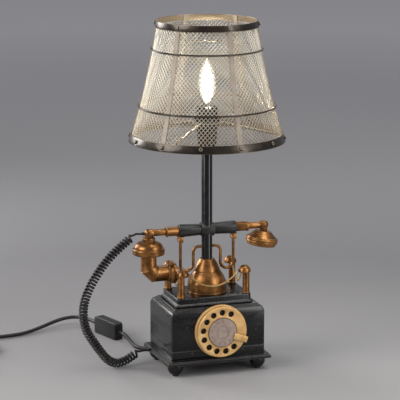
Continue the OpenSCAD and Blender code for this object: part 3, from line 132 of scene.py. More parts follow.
class Finish:
    """A material with a Principled shader and short words for what it needs."""

    EDGE_RISE, EDGE_SAMPLES = (0.01, 0.16), 4
    HOLLOW_RISE, HOLLOW_SAMPLES = (0.25, 0.85), 6
    MIX_SHARE, MIX_A, MIX_B, MIX_OUT = 0, 6, 7, 2

    def __init__(self, name):
        self.material = bpy.data.materials.new(name)
        self.material.use_nodes = True
        self.tree = self.material.node_tree
        self.shader = self.tree.nodes["Principled BSDF"]

    def node(self, kind, settings, sockets, out=0):
        made = self.tree.nodes.new(kind)
        for key, value in settings.items():
            setattr(made, key, value)
        for key, value in sockets.items():
            self.put(made.inputs[key], value)
        return Wire(self, made.outputs[out])

    def put(self, socket, value):
        if isinstance(value, Wire):
            self.tree.links.new(value.socket, socket)
        else:
            socket.default_value = value

    def set(self, **values):
        for key, value in values.items():
            self.put(self.shader.inputs[key.replace("_", " ")], value)

    def mix(self, share, a, b):
        """A colour between a and b. The node keeps its colours in later sockets than its numbers."""
        sockets = {self.MIX_SHARE: share, self.MIX_A: a, self.MIX_B: b}
        return self.node("ShaderNodeMix", {"data_type": "RGBA"}, sockets, self.MIX_OUT)

    def dot(self, a, b):
        return self.node("ShaderNodeVectorMath", {"operation": "DOT_PRODUCT"}, {0: a, 1: b}, "Value")

    def part(self, vector, axis):
        """One number of a vector, by the name of its axis."""
        return self.node("ShaderNodeSeparateXYZ", {}, {"Vector": vector}, axis)

    def facing(self):
        """The direction that the surface looks in."""
        return self.node("ShaderNodeTexCoord", {}, {}, "Normal")

    def place(self, stretch=(1, 1, 1)):
        """The point on the piece, in metres, with each axis stretched."""
        at = self.node("ShaderNodeTexCoord", {}, {}, "Object")
        return self.node("ShaderNodeVectorMath", {"operation": "MULTIPLY"}, {0: at, 1: stretch})

    def noise(self, scale, detail=3.0, stretch=(1, 1, 1)):
        sockets = {"Vector": self.place(stretch), "Scale": scale, "Detail": detail}
        return self.node("ShaderNodeTexNoise", {}, sockets)

    def edges(self, radius):
        """1 where the surface turns sharply within the radius."""
        soft = self.node("ShaderNodeBevel", {"samples": self.EDGE_SAMPLES}, {"Radius": radius})
        flat = self.node("ShaderNodeNewGeometry", {}, {}, "Normal")
        return (1 - self.dot(soft, flat)).above(*self.EDGE_RISE)

    def hollows(self, reach):
        """1 deep in a corner or groove."""
        how = {"samples": self.HOLLOW_SAMPLES}
        open_sky = self.node("ShaderNodeAmbientOcclusion", how, {"Distance": reach}, "AO")
        return (1 - open_sky).above(*self.HOLLOW_RISE)

    def bump(self, height, strength, depth):
        sockets = {"Height": height, "Strength": strength, "Distance": depth}
        self.set(Normal=self.node("ShaderNodeBump", {}, sockets))
        return self


def rgb(red, green, blue):
    """A colour as it looks on a screen, from 0 to 255, in the linear numbers that shaders use."""
    shares = [c / 255 for c in (red, green, blue)]
    return (*(c / 12.92 if c <= 10 / 255 else ((c + 0.055) / 1.055) ** 2.4 for c in shares), 1.0)


print("helpers for finishes are ready")

# %% [markdown]
# ## Black finishes
# The box is cast resin under a satin black paint, put on with a brush and rubbed through to grey on its
# edges. The rubbed edge could be painted by hand; here it is found by comparing the surface's direction
# with a softened one, so it follows every edge of every piece. The pole and the lampholder are smoother.

# %% Resin, pole and lampholder
def resin_finish():
    f = Finish("black_resin")
    cloud = f.noise(scale=55)
    strokes = f.noise(scale=70, detail=4, stretch=(0.35, 0.35, 2.5))
    grit = f.noise(scale=420, detail=2)
    rubbed = f.edges(radius=0.0022) * (f.noise(scale=160, detail=4) + 0.15).above(0.38, 0.62)
    paint = f.mix(cloud.above(0.3, 0.7), rgb(7, 7, 8), rgb(15, 15, 17))
    paint = f.mix(grit.above(0.64, 0.72) * 0.55, paint, rgb(84, 84, 90))
    f.set(Base_Color=f.mix(rubbed * 0.48, paint, rgb(122, 119, 116)))
    f.set(Roughness=0.14 + 0.22 * strokes + 0.12 * rubbed, Specular_IOR_Level=0.42)
    return f.bump(strokes + 0.25 * grit, strength=0.25, depth=0.0006).material


def satin_black(name, tone, roughness):
    f = Finish(name)
    wear = f.noise(scale=120, detail=4)
    worn = rgb(tone + 16, tone + 15, tone + 15)
    f.set(Base_Color=f.mix(wear.above(0.35, 0.75), rgb(tone, tone, tone + 1), worn))
    f.set(Roughness=roughness + 0.18 * wear)
    return f.bump(f.noise(scale=700, detail=2), strength=0.1, depth=0.0002).material


def grip_finish():
    f = Finish("black_grip")
    grain = f.noise(scale=90, detail=4, stretch=(0.25, 1, 1))
    rubbed = f.edges(radius=0.0012) * (f.noise(scale=180, detail=4) + 0.1).above(0.35, 0.6)
    paint = f.mix(grain.above(0.4, 0.7), rgb(12, 12, 14), rgb(48, 47, 46))
    f.set(Base_Color=f.mix(rubbed * 0.7, paint, rgb(112, 108, 104)), Roughness=0.26 + 0.2 * grain)
    return f.bump(grain, strength=0.35, depth=0.0005).material


finishes = {
    "black_resin": resin_finish(),
    "black_grip": grip_finish(),
    "black_pole": satin_black("black_pole", tone=9, roughness=0.07),
    "holder_black": satin_black("holder_black", tone=10, roughness=0.16),
    "plate_black": satin_black("plate_black", tone=9, roughness=0.5),
    "switch_black": satin_black("switch_black", tone=20, roughness=0.36),
}
print("black finishes", sorted(finishes))

# %% [markdown]
# ## Gold, bronze and mesh paints
# The metal parts carry an antique gold: bright where hands would touch, brown in the hollows. A plain
# metal would look new, so the hollows are darkened by how closed-in a point is: painted shade, and on the
# gold also its dark patina. A slow noise shifts the tone. Some need one tone more: the mesh is darker low
# down and on its undersides, which is painted shade, and the bands are pale inside.

# %% Metal paints
# Ranges for the mesh's painted shade low down, for the inside of the bands, and for the painted shade on the
# mesh's undersides.
MESH_LOW_SHADE, BAND_INSIDE, MESH_UNDERSIDE_SHADE = (0.34, 0.42), (-0.02, 0), (-0.1, 0.35)


def antique(name, bright, deep, shade_and_patina_tone, rub, metal, roughness, reach, coat=0.0,
            low_shade_tone=None, inner_tone=None, underside_shade_tone=None):
    f = Finish(name)
    cloud = f.noise(scale=75, detail=4)
    grain = f.noise(scale=520, detail=3)
    # How closed-in a point is; it darkens the colour as painted shade, and on the antique gold also as
    # patina.
    shade_and_patina = f.hollows(reach)
    rubbed = f.edges(radius=0.0012) * (1 - shade_and_patina)
    tone = f.mix(cloud.above(0.3, 0.72), deep, bright)
    tone = f.mix(rubbed * 0.55, tone, rub)
    # Painted shade: the mesh gets darker towards its bottom.
    if low_shade_tone:
        height = f.part(f.place(), "Z")
        tone = f.mix(0.75 - 0.75 * height.above(*MESH_LOW_SHADE), tone, low_shade_tone)
    # Painted shade in the hollows, and on the antique gold also its dark patina.
    tone = f.mix(shade_and_patina * 0.8, tone, shade_and_patina_tone)
    if inner_tone:
        outward = f.dot(f.facing(), f.place((1, 1, 0)))
        tone = f.mix(1 - outward.above(*BAND_INSIDE), tone, inner_tone)
    # Painted shade: strand faces that look down get darker.
    if underside_shade_tone:
        tone = f.mix(f.part(f.facing(), "Z").above(*MESH_UNDERSIDE_SHADE), underside_shade_tone, tone)
    f.set(Base_Color=tone, Metallic=metal - 0.35 * shade_and_patina)
    f.set(Roughness=roughness + 0.2 * cloud + 0.1 * grain, Coat_Weight=coat, Coat_Roughness=0.12)
    return f.bump(cloud + 0.4 * grain, strength=0.1, depth=0.0005).material


# The darkest colour of each recipe is painted shade in the hollows, on the antique gold also its patina; the
# mesh's low and underside tones are painted shade.
paints = {
    "antique_gold": dict(bright=rgb(174, 121, 66), deep=rgb(81, 51, 25), shade_and_patina_tone=rgb(18, 11, 6),
                         rub=rgb(234, 188, 122), metal=0.9, roughness=0.22, reach=0.009, coat=0.12),
    "dial_gold": dict(bright=rgb(250, 206, 140), deep=rgb(214, 166, 102), shade_and_patina_tone=rgb(62, 36, 16),
                      rub=rgb(252, 220, 164), metal=0.35, roughness=0.26, reach=0.006, coat=0.2),
    "bronze": dict(bright=rgb(64, 56, 46), deep=rgb(37, 31, 26), shade_and_patina_tone=rgb(16, 13, 11),
                   rub=rgb(150, 128, 98), metal=0.75, roughness=0.2, reach=0.004, coat=0.3,
                   inner_tone=rgb(160, 146, 124)),
    "mesh_cream": dict(bright=rgb(246, 241, 228), deep=rgb(226, 217, 198), shade_and_patina_tone=rgb(150, 134, 108),
                       rub=rgb(252, 248, 238), metal=0.6, roughness=0.24, reach=0.002,
                       low_shade_tone=rgb(150, 132, 108), underside_shade_tone=rgb(92, 80, 63)),
    "upright_beige": dict(bright=rgb(166, 154, 140), deep=rgb(138, 126, 112), shade_and_patina_tone=rgb(88, 77, 65),
                          rub=rgb(200, 190, 170), metal=0.3, roughness=0.42, reach=0.004),
    "steel": dict(bright=rgb(190, 190, 192), deep=rgb(160, 160, 164), shade_and_patina_tone=rgb(90, 90, 92),
                  rub=rgb(220, 220, 222), metal=0.95, roughness=0.3, reach=0.003),
    "pin_steel": dict(bright=rgb(212, 210, 204), deep=rgb(192, 190, 186), shade_and_patina_tone=rgb(110, 108, 104),
                      rub=rgb(230, 230, 228), metal=0.98, roughness=0.16, reach=0.003),
    "rope_gold": dict(bright=rgb(216, 178, 114), deep=rgb(168, 126, 70), shade_and_patina_tone=rgb(44, 28, 12),
                      rub=rgb(236, 204, 146), metal=0.2, roughness=0.4, reach=0.0014),
}
finishes.update({name: antique(name, **recipe) for name, recipe in paints.items()})
print("finishes now", len(finishes))

# %% [markdown]
# ## Sheath, felt, paper and glass
# What is left is soft or glowing. The sheath has a faint orange-peel skin, the felt is dull, the disc of
# the dial is a worn grey print, and the bulb is alight as in the photograph. Its glow is a bright heart
# inside three thin shells of light, each paler than the one before, because one shining surface would end
# in a hard edge.

# %% Soft and glowing finishes
def soft_finish(name, low, high, scale, roughness, depth):
    f = Finish(name)
    skin = f.noise(scale, detail=3)
    slow = f.noise(scale=60, detail=2)
    f.set(Base_Color=f.mix((0.5 * skin + 0.5 * slow).above(0.35, 0.68), low, high))
    f.set(Roughness=roughness + 0.15 * slow)
    return f.bump(skin, strength=0.3, depth=depth).material


GLASS_TONE = rgb(30, 28, 25)
HEART_STARTS, HEART_ENDS = (0.388, 0.414), (0.428, 0.447)


def lit_glass():
    f = Finish("bulb_glass")
    height = f.part(f.place(), "Z")
    heart = height.above(*HEART_STARTS) * (1 - height.above(*HEART_ENDS))
    bright = f.mix(f.noise(scale=90, detail=2), rgb(255, 242, 216), rgb(255, 248, 232))
    f.set(Base_Color=GLASS_TONE, Roughness=0.2, Emission_Strength=0.9, Alpha=0.12 + 0.22 * heart)
    f.set(Emission_Color=f.mix(heart, rgb(60, 54, 44), bright))
    return f.material


def glowing(name, strength, solid):
    f = Finish(name)
    f.set(Base_Color=GLASS_TONE, Roughness=0.4, Emission_Strength=strength, Alpha=solid)
    f.set(Emission_Color=f.mix(f.noise(scale=120, detail=2), rgb(255, 238, 206), rgb(255, 246, 226)))
    return f.material


skins = {
    "cord_black": dict(low=rgb(11, 9, 8), high=rgb(26, 22, 20), scale=800, roughness=0.42, depth=0.0002),
    "felt": dict(low=rgb(22, 22, 22), high=rgb(44, 43, 42), scale=1600, roughness=0.85, depth=0.0006),
    "disc_grey": dict(low=rgb(156, 136, 125), high=rgb(182, 162, 150), scale=240, roughness=0.5,
                      depth=0.0002),
    "dial_print": dict(low=rgb(98, 86, 86), high=rgb(124, 111, 109), scale=240, roughness=0.55,
                       depth=0.0001),
}
glows = {
    "filament": dict(strength=420.0, solid=1.0),
    "inner_glow": dict(strength=8.0, solid=0.32),
    "middle_glow": dict(strength=3.2, solid=0.25),
    "outer_glow": dict(strength=1.6, solid=0.2),
}
finishes.update({name: soft_finish(name, **recipe) for name, recipe in skins.items()})
finishes.update({name: glowing(name, **recipe) for name, recipe in glows.items()})
finishes["bulb_glass"] = lit_glass()
print("all finishes", sorted(finishes))

# %% [markdown]
# ## Routes of the cords
# A cord is one smooth curve through a few points. A curve object with handles could do that, but the same
# points and the same rule are used in the solids: a cubic between each two points, which passes through
# every point, so the cord lies where its solid lies.

# %% Smooth curves and cord pieces
def smooth_route(points, steps):
    """A smooth curve through the points, a cubic between each two."""
    p = np.array(points, float)
    last = len(p) - 1
    made = []
    for i in range(last):
        a, b, c, d = p[max(i - 1, 0)], p[i], p[i + 1], p[min(i + 2, last)]
        for k in range(steps):
            u = k / steps
            made.append(0.5 * (2 * b + (c - a) * u + (2 * a - 5 * b + 4 * c - d) * u**2
                               + (3 * b - a - 3 * c + d) * u**3))
    return np.array(made + [p[last]])


def lengths_along(points):
    """How far along a line each of its points is."""
    return np.concatenate([[0], np.cumsum(np.linalg.norm(np.diff(points, axis=0), axis=1))])


def eased(x):
    """A soft rise from 0 to 1."""
    t = np.clip(x, 0, 1)
    return t * t * (3 - 2 * t)


def add_piece(name, data, body, slot, *nodes):
    """Links a new piece, gives it its finish and sets it on its body in place of its nodes."""
    piece = bpy.data.objects.new(name, data)
    scene.collection.objects.link(piece)
    data.materials.clear()
    data.materials.append(finishes[slot])
    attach(piece, body)
    if nodes:
        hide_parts(*nodes)
    return piece


ROUTE_STEPS, CORD_ROUNDNESS = 8, 4


def cord_curve(name, points, diameter):
    data = bpy.data.curves.new(name, "CURVE")
    data.dimensions, data.use_fill_caps = "3D", True
    data.bevel_depth, data.bevel_resolution = diameter / 2, CORD_ROUNDNESS
    spline = data.splines.new("POLY")
    spline.points.add(len(points) - 1)
    spline.points.foreach_set("co", np.c_[points, np.ones(len(points))].ravel())
    spline.use_smooth = True
    return data


def lead_piece(name, points, diameter, *nodes):
    """A cord in black sheath on the lamp, in place of its nodes."""
    return add_piece(name, cord_curve(name, points, diameter), "lamp", "cord_black", *nodes)


print("cord helpers are ready")

# %% [markdown]
# ## The curly cord
# It leaves the mouth end of the handset, hangs in a wide bow and goes into the plinth. A screw modifier
# could wind it, but only round a straight line, so its turns are wound here round the smooth route: each
# point steps out sideways from the route by the radius of a curl, turning as it goes. At both ends the
# radius grows first and the turning follows, so the wire swings out of its bush into the first curl
# without a kink.

# %% Curly cord
CURLY_D, CURL_OD, CURLS = 3.2, 13.6, 55
CURL_STEPS, CURL_EASE, TURN_LAG, HEADING_REACH = 20, 16.0, 3, 2
CURLY_STRAIGHT = 2 * CURLY_D
curly_out, curly_in = np.array([-97.65, 0, 200.0]), np.array([-82.0, 26, 20.25])
curly_route = [curly_out, curly_out + [-5, 0, 0], [-107, 0, 200], [-115, 0, 194], [-129, 1, 183],
               [-143, 2, 170], [-155, 3, 156], [-165, 4, 141], [-173, 6, 126], [-179, 7, 111], [-182, 9, 94],
               [-181, 10, 77], [-176, 12, 60], [-167, 13, 45], [-157, 15, 30], [-146, 16, 16],
               [-134, 18, 8.5], [-121, 20, 8.5], [-109, 23, 13], [-98, 25, 18], curly_in + [-6, 0, 0],
               curly_in]
curly_line = smooth_route(curly_route, ROUTE_STEPS)
curly_run = lengths_along(curly_line)
curly_end = curly_run[-1]


def on_route(s):
    return np.array([np.interp(s, curly_run, curly_line[:, k]) for k in range(3)])


def wound_point(s, grow, turn):
    """A point of the wire, s along the route, with its curl grown and turned so far."""
    ahead = on_route(min(s + HEADING_REACH, curly_end)) - on_route(max(s - HEADING_REACH, 0))
    ahead /= np.linalg.norm(ahead)
    side = np.cross(ahead, [0, 1, 0])
    side /= np.linalg.norm(side)
    up = np.cross(side, ahead)
    return on_route(s) + (CURL_OD - CURLY_D) / 2 * grow * (math.cos(turn) * side + math.sin(turn) * up)


along = np.linspace(CURLY_STRAIGHT, curly_end - CURLY_STRAIGHT, CURLS * CURL_STEPS + 1)
growth = eased(np.minimum(along - CURLY_STRAIGHT, curly_end - CURLY_STRAIGHT - along) / CURL_EASE)
turning = np.concatenate([[0], np.cumsum((growth[1:] ** TURN_LAG + growth[:-1] ** TURN_LAG) / 2)])
turning = math.pi / 2 + 2 * math.pi * CURLS * turning / turning[-1]
curly_points = [on_route(0), on_route(CURLY_STRAIGHT / 2)]
curly_points += [wound_point(*step) for step in zip(along, growth, turning)]
curly_points += [on_route(curly_end - CURLY_STRAIGHT / 2), on_route(curly_end)]
curly_points = np.array(curly_points) * MM
curly = lead_piece("curly_cord_wound", curly_points, CURLY_D * MM, "curly_cord")

# %% [markdown]
# ## The mains lead
# A round lead leaves the back of the base, turns down behind it to the table, swings round to the switch,
# bows over the table and leaves the picture on the left. The photograph doesn't show its end, so the rest
# of a usual 1.8 m is coiled and tied just past the edge, with its plug beside it. A hanging curve could
# be found by a simulation, but the solids have to lie in the same place, so the route is drawn: two bends
# behind the base, then a curve that arrives at the switch in line with it.

# %% Mains lead to the switch
LEAD_D = 5.5
SWITCH_MID, SWITCH_L, SWITCH_ANGLE = np.array([-95, 184, 13.0]), 58, math.radians(106.5)
SWITCH_STRAIGHT = 2 * LEAD_D
GLAND_X, GLAND_END, GLAND_Z, GLAND_STRAIGHT, LEAD_Z = 20.0, 71.0, 29.35, 4, LEAD_D / 2 + 0.45
# Two bends of one radius, their angles and the run between them; how far along the lead has come down to
# the table, and how far before the switch it starts to rise.
BEND, TURN, BACK, STRAIGHT, DROP, CLIMB = 27, 125, 115, 14, 84, 42
BEND_STEPS, CURVE_STEPS = 60, 51
switch_way = np.array([math.cos(SWITCH_ANGLE), math.sin(SWITCH_ANGLE), 0])


def way(degrees):
    return np.array([math.cos(math.radians(degrees)), math.sin(math.radians(degrees))])


def bend(centre, first, last):
    turns_to = [first + (last - first) * k / BEND_STEPS for k in range(BEND_STEPS + 1)]
    return [centre + BEND * way(angle) for angle in turns_to]


first_bend = np.array([GLAND_X - BEND, GLAND_END + GLAND_STRAIGHT])
second_bend = first_bend + 2 * BEND * way(TURN) + STRAIGHT * way(TURN + 90)
bends = bend(first_bend, 0, TURN) + bend(second_bend, TURN + 180, TURN + 180 - BACK)
bends_end, switch_end = bends[-1], (SWITCH_MID - SWITCH_L / 2 * switch_way)[:2]
pull = np.linalg.norm(switch_end - bends_end)
u = np.linspace(0, 1, CURVE_STEPS + 1)[1:, None]
onward = (bends_end * (2 * u**3 - 3 * u**2 + 1) + pull * way(TURN + 90 - BACK) * (u**3 - 2 * u**2 + u)
          + switch_end * (3 * u**2 - 2 * u**3) + pull * switch_way[:2] * (u**3 - u**2))
plan = np.concatenate([[[GLAND_X, GLAND_END]], bends, onward])
gone = lengths_along(plan)
fall = (GLAND_Z - LEAD_Z) * (1 - eased(gone / DROP))
climb = (SWITCH_MID[2] - LEAD_Z) * eased((gone - gone[-1] + SWITCH_STRAIGHT + CLIMB) / CLIMB)
near_points = np.c_[plan, LEAD_Z + fall + climb] * MM
near_lead = lead_piece("mains_lead_near", near_points, LEAD_D * MM, "lead_to_switch")

# %% [markdown]
# ## The coil
# Past the switch the lead runs to a small flat coil: it spirals in along the table, crosses over in half
# a turn and spirals out again on top of itself, so that its end comes free on the outside for the plug.

# %% Mains lead from the switch on
COIL_AT, COIL_IN_R, COIL_PITCH, COIL_Z = (-316, 176), 24, LEAD_D + 0.5, 1 + LEAD_D / 2
TURNS_IN, TURNS_OVER, TURNS_OUT, COIL_STEPS = 3, 0.5, 2.8, 300
PLUG_Z, TAIL_L, TAIL_STEPS = 7, 46, 4
coil_out_r = COIL_IN_R + TURNS_IN * COIL_PITCH
coil_start = np.array([COIL_AT[0] + 2 * LEAD_D, COIL_AT[1] + coil_out_r, COIL_Z])
far_route = [SWITCH_MID + SWITCH_L / 2 * switch_way,
             SWITCH_MID + (SWITCH_L / 2 + SWITCH_STRAIGHT) * switch_way,
             [-110, 235, 13], [-114, 246, 13], [-121, 256, 12.5], [-131, 262, 12], [-143, 262.5, 11],
             [-156, 259, 9.5], [-168, 253, 8], [-180, 246, 6.5], [-193, 239, 5], [-206, 232, 4],
             [-220, 226, 3.5], [-234, 222, 3.5], [-248, 220, 3.5], [-262, 219, 3.5], [-276, 218.5, 3.5],
             [-290, 218, 3.6], coil_start + [2 * LEAD_D, 0, 0], coil_start]


def coil_point(n):
    """A point of the coil after n turns."""
    back = TURNS_IN + TURNS_OVER
    if n < TURNS_IN:
        r = coil_out_r - COIL_PITCH * n
    elif n < back:
        r = COIL_IN_R - COIL_PITCH * min(n - TURNS_IN, back - n)
    else:
        r = COIL_IN_R + COIL_PITCH * (n - back)
    rise = min(max((n - TURNS_IN) / TURNS_OVER, 0), 1)
    a = math.pi / 2 + 2 * math.pi * n
    return [COIL_AT[0] + r * math.cos(a), COIL_AT[1] + r * math.sin(a),
            COIL_Z + COIL_PITCH * (1 - math.cos(math.pi * rise)) / 2]


turns = TURNS_IN + TURNS_OVER + TURNS_OUT
coil = [coil_point(turns * k / COIL_STEPS) for k in range(COIL_STEPS + 1)]
leave = math.pi + 2 * math.pi * turns
tail_way = np.array([math.cos(leave), math.sin(leave), 0])
coil_end = np.array(coil[-1])
under_end, coil_top = coil_end * [1, 1, 0], coil_end[2]
tail = [under_end + [0, 0, coil_top + (PLUG_Z - coil_top) * k / TAIL_STEPS]
        + (TAIL_L - LEAD_D) * k / TAIL_STEPS * tail_way for k in range(1, TAIL_STEPS + 1)]
tail_end = under_end + [0, 0, PLUG_Z] + TAIL_L * tail_way
far_points = np.concatenate([smooth_route(far_route, ROUTE_STEPS), [coil_start - [LEAD_D, 0, 0]],
                             coil, tail, [tail_end]]) * MM
far_lead = lead_piece("mains_lead_far", far_points, LEAD_D * MM, "lead_to_coil", "cord_coil")

# %% [markdown]
# ## Ropes between the posts
# Thin gold cord of two strands hangs from cap to cap. Each strand is a small tube wound round the hanging
# line, which is a parabola as in the solids. A texture could fake the twist, but the strands catch the
# light.

# %% Tubes as meshes
FIRST_SIDE = (0.31, 0.52, 0.79)


def unit(vectors):
    return vectors / np.linalg.norm(vectors, axis=1)[:, None]


def tube_rings(points, radius, sides):
    """Rings of vertices along a line, and the faces between them, closed at the ends."""
    p = np.array(points)
    ahead = unit(np.gradient(p, axis=0))
    side = np.cross(ahead[0], FIRST_SIDE)
    verts = []
    for q, t in zip(p, ahead):
        side = side - side.dot(t) * t
        side /= np.linalg.norm(side)
        over = np.cross(t, side)
        for j in range(sides):
            a = 2 * math.pi * j / sides
            verts.append(q + radius * (math.cos(a) * side + math.sin(a) * over))
    return verts, tube_faces(len(p), sides)


def tube_faces(rings, sides):
    faces = []
    for i in range(rings - 1):
        for j in range(sides):
            k, here, there = (j + 1) % sides, i * sides, (i + 1) * sides
            faces.append((here + j, here + k, there + k, there + j))
    return faces + [tuple(range(sides - 1, -1, -1)), tuple((rings - 1) * sides + j for j in range(sides))]


def mesh_of(name, parts):
    """One mesh from several lists of vertices and faces."""
    verts, faces = [], []
    for v, f in parts:
        faces += [tuple(i + len(verts) for i in face) for face in f]
        verts += list(v)
    data = bpy.data.meshes.new(name)
    data.from_pydata([tuple(v) for v in verts], [], faces)
    data.validate()
    data.shade_smooth()
    return data


print("tubes can be drawn")

# %% Ropes
POST_X, POST_Y, CAP_SHIFT, CAP_D = 49.0, 30.0, 2.5, 18
ROPE_D, ROPE_Z, ROPE_GAP, ROPE_STEPS = 2.0, 141.0, 0.1, 180
SAG_LONG, SAG_SHORT = 18.5, 20
STRANDS, STRAND_OUT, STRAND_R, STRAND_SIDES, TWIST = 2, 0.68, 0.66, 8, 6.4
cap_x = POST_X - CAP_SHIFT
reach_x = cap_x - CAP_D / 2 - ROPE_D / 2 - ROPE_GAP
reach_y = POST_Y - CAP_D / 2 - ROPE_D / 2 - ROPE_GAP
swags = {"rope_front": ([-reach_x, -POST_Y], [reach_x, -POST_Y], SAG_LONG),
         "rope_back": ([-reach_x, POST_Y], [reach_x, POST_Y], SAG_LONG),
         "rope_left": ([-cap_x, -reach_y], [-cap_x, reach_y], SAG_SHORT),
         "rope_right": ([cap_x, -reach_y], [cap_x, reach_y], SAG_SHORT)}
stands_for = {"rope_front": ["rope_swags"]}
for name, (start, stop, sag) in swags.items():
    u = np.linspace(0, 1, ROPE_STEPS + 1)[:, None]
    hang = np.hstack([np.array(start) + (np.array(stop) - start) * u, ROPE_Z - 4 * sag * u * (1 - u)])
    far = lengths_along(hang)
    ahead = unit(np.gradient(hang, axis=0))
    flat = unit(np.cross(ahead, [0, 0, 1]))
    over = np.cross(flat, ahead)
    strands = []
    for k in range(STRANDS):
        a = (2 * math.pi * (far / TWIST + k / STRANDS))[:, None]
        strand = hang + STRAND_OUT * (np.cos(a) * flat + np.sin(a) * over)
        strands.append(tube_rings(strand * MM, STRAND_R * MM, STRAND_SIDES))
    rope = add_piece(name, mesh_of(name, strands), "lamp", "rope_gold", *stands_for.get(name, []))
    print(name, round(float(far[-1]), 1), "mm")

# %% [markdown]
# ## Dressing the solids
# The solids have the right shapes but knife-sharp edges, and light shows that at once. Each visible one
# is copied, its flat faces are joined, and its sharp edges are rounded by the width that the real
# casting, turning or moulding has. A bevel modifier would do the same; doing it in the mesh keeps the
# piece plain.

# %% Rounded copies
WELD, FLAT_ANGLE, CREASE_ANGLE = 2e-6, math.radians(0.3), math.radians(38)


def softened(node, width, sharp=28, segments=2):
    """A copy of a solid's mesh with its sharp edges rounded by width, in millimetres."""
    bm = bmesh.new()
    bm.from_mesh(frame["nodes"][node].data)
    bmesh.ops.remove_doubles(bm, verts=bm.verts, dist=WELD)
    bmesh.ops.dissolve_limit(bm, angle_limit=FLAT_ANGLE, verts=bm.verts, edges=bm.edges)
    folds = [e for e in bm.edges if len(e.link_faces) == 2]
    edges = [e for e in folds if e.calc_face_angle() > math.radians(sharp)]
    if width and edges:
        bmesh.ops.bevel(bm, geom=edges, offset=width * MM, segments=segments, profile=0.5, affect="EDGES",
                        clamp_overlap=True)
    bmesh.ops.recalc_face_normals(bm, faces=bm.faces)
    data = bpy.data.meshes.new(node + "_dressed")
    bm.to_mesh(data)
    bm.free()
    data.shade_smooth()
    data.set_sharp_from_angle(angle=CREASE_ANGLE)
    return data


def dress(node, width, **how):
    data = softened(node, width, **how)
    return add_piece(node + "_dressed", data, body_of_node[node], slot_of_node[node], node)


roundings = {
    "foot_pads": 0.2, "ball_feet": 0.5, "plinth": 0.8, "lower_tray": 0.7, "upper_case": 0.8, "top_tier": 1.5,
    "pole": 0.3, "posts": 0.6, "post_caps": 0.35, "cradle_lugs": 0.6, "handset_sleeve": 0.7,
    "handset_grips": 0.9, "ferrules": 0.9, "handset_tubes": 0.3, "knuckles": 0.5, "horn_ring": 0.7,
    "ear_plate": 0.3, "dial_housing": 0.6, "number_plate": 0.2, "finger_stop": 0.8, "finger_wheel": 0.5,
    "centre_disc": 0.2, "holder_cap": 0.5, "holder_sleeve": 0.5, "shade_ring": 0.5, "bulb_screw": 0.3,
    "shade_bands": 0.3, "shade_uprights": 0.25, "shade_rivets": 0.5, "shade_spider": 0.3, "lead_gland": 0.5,
    "curly_bushes": 0.3, "switch_base": 0.9, "switch_cover": 0.9, "switch_rocker": 0.5, "cord_tie": 0.2,
    "plug_body": 1.6, "plug_pins": 0.7,
}
dressed = {node: dress(node, width) for node, width in roundings.items()}
dressed["horn_elbow"] = dress("horn_elbow", 1.2, sharp=10, segments=3)
for node in ("bulb_glass", "cradle_wires", "shade_hoops"):
    dressed[node] = dress(node, 0)
print("dressed", len(dressed), "solids")

# %% [markdown]
# ## What is on the lead
# The switch and the plug are pieces of their own on the lead, dressed above with the other solids.

# %% Lead with its switch and plug
print("the switch and the plug are dressed with the other solids")

# %% [markdown]
# ## Pieces that stay hidden
# Screws, the nut, the spring and the inner lead are inside, so their solids stay as they are and only get
# a finish.

# %% Hidden pieces
for node in ("foot_screws", "pole_nut", "return_spring", "dial_spindle", "spindle_clip", "inner_lead"):
    inner = frame["nodes"][node].data
    inner.materials.clear()
    inner.materials.append(finishes[slot_of_node[node]])
print("hidden pieces have their finish")

# %% [markdown]
# ## Turned pieces
# The bell and the two caps of the handset are turned shapes, and light runs along them, so a coarse mesh
# shows. They are spun here from their outlines with many sides: each outline is the widest of a few
# rounded discs at every level, which gives the ridges of the ear cap, or an arc between two rims for the
# bell.

# %% Lathe
def lathe(outline, closed=False, sides=96):
    """Vertices and faces of an outline of (radius, height) points spun round the upright axis."""
    angles = [2 * math.pi * j / sides for j in range(sides)]
    verts, first = [], []
    for radius, height in outline:
        first.append(len(verts))
        verts += [np.array([radius * math.cos(a), radius * math.sin(a), height])
                  for a in (angles if radius else angles[:1])]
    steps = list(zip(range(len(outline)), range(1, len(outline))))
    if closed:
        steps.append((len(outline) - 1, 0))
    faces = []
    for a, b in steps:
        for j in range(sides):
            k = (j + 1) % sides
            corners = [first[i] + (n if outline[i][0] else 0) for i, n in ((a, j), (a, k), (b, k), (b, j))]
            faces.append(tuple(dict.fromkeys(corners)))
    return verts, faces


def corner_bite(inside, edge):
    """How far a rounded corner draws in at a distance inside it."""
    return edge - np.sqrt(np.maximum(edge**2 - np.maximum(edge - inside, 0) ** 2, 0))


def disc_edge(z, radius, low, height, edge):
    """Radius at level z of a disc with rounded edges, or 0 above and below it."""
    inside = np.minimum(z - low, low + height - z)
    return np.where(inside < 0, 0, radius - corner_bite(inside, edge))


ARC_POINTS = 40


def arc_edge(p, q, swell, rounding):
    """Points from p to q that swell outwards, drawn in a little at both ends."""
    p, q = np.array(p), np.array(q)
    t = np.linspace(0, 1, ARC_POINTS)[:, None]
    normal = np.array([(q - p)[1], -(q - p)[0]]) / np.linalg.norm(q - p)
    arc = p + (q - p) * t + 4 * swell * t * (1 - t) * normal
    near_end = np.linalg.norm(q - p) * np.minimum(t, 1 - t)
    return arc - normal * corner_bite(near_end, rounding)


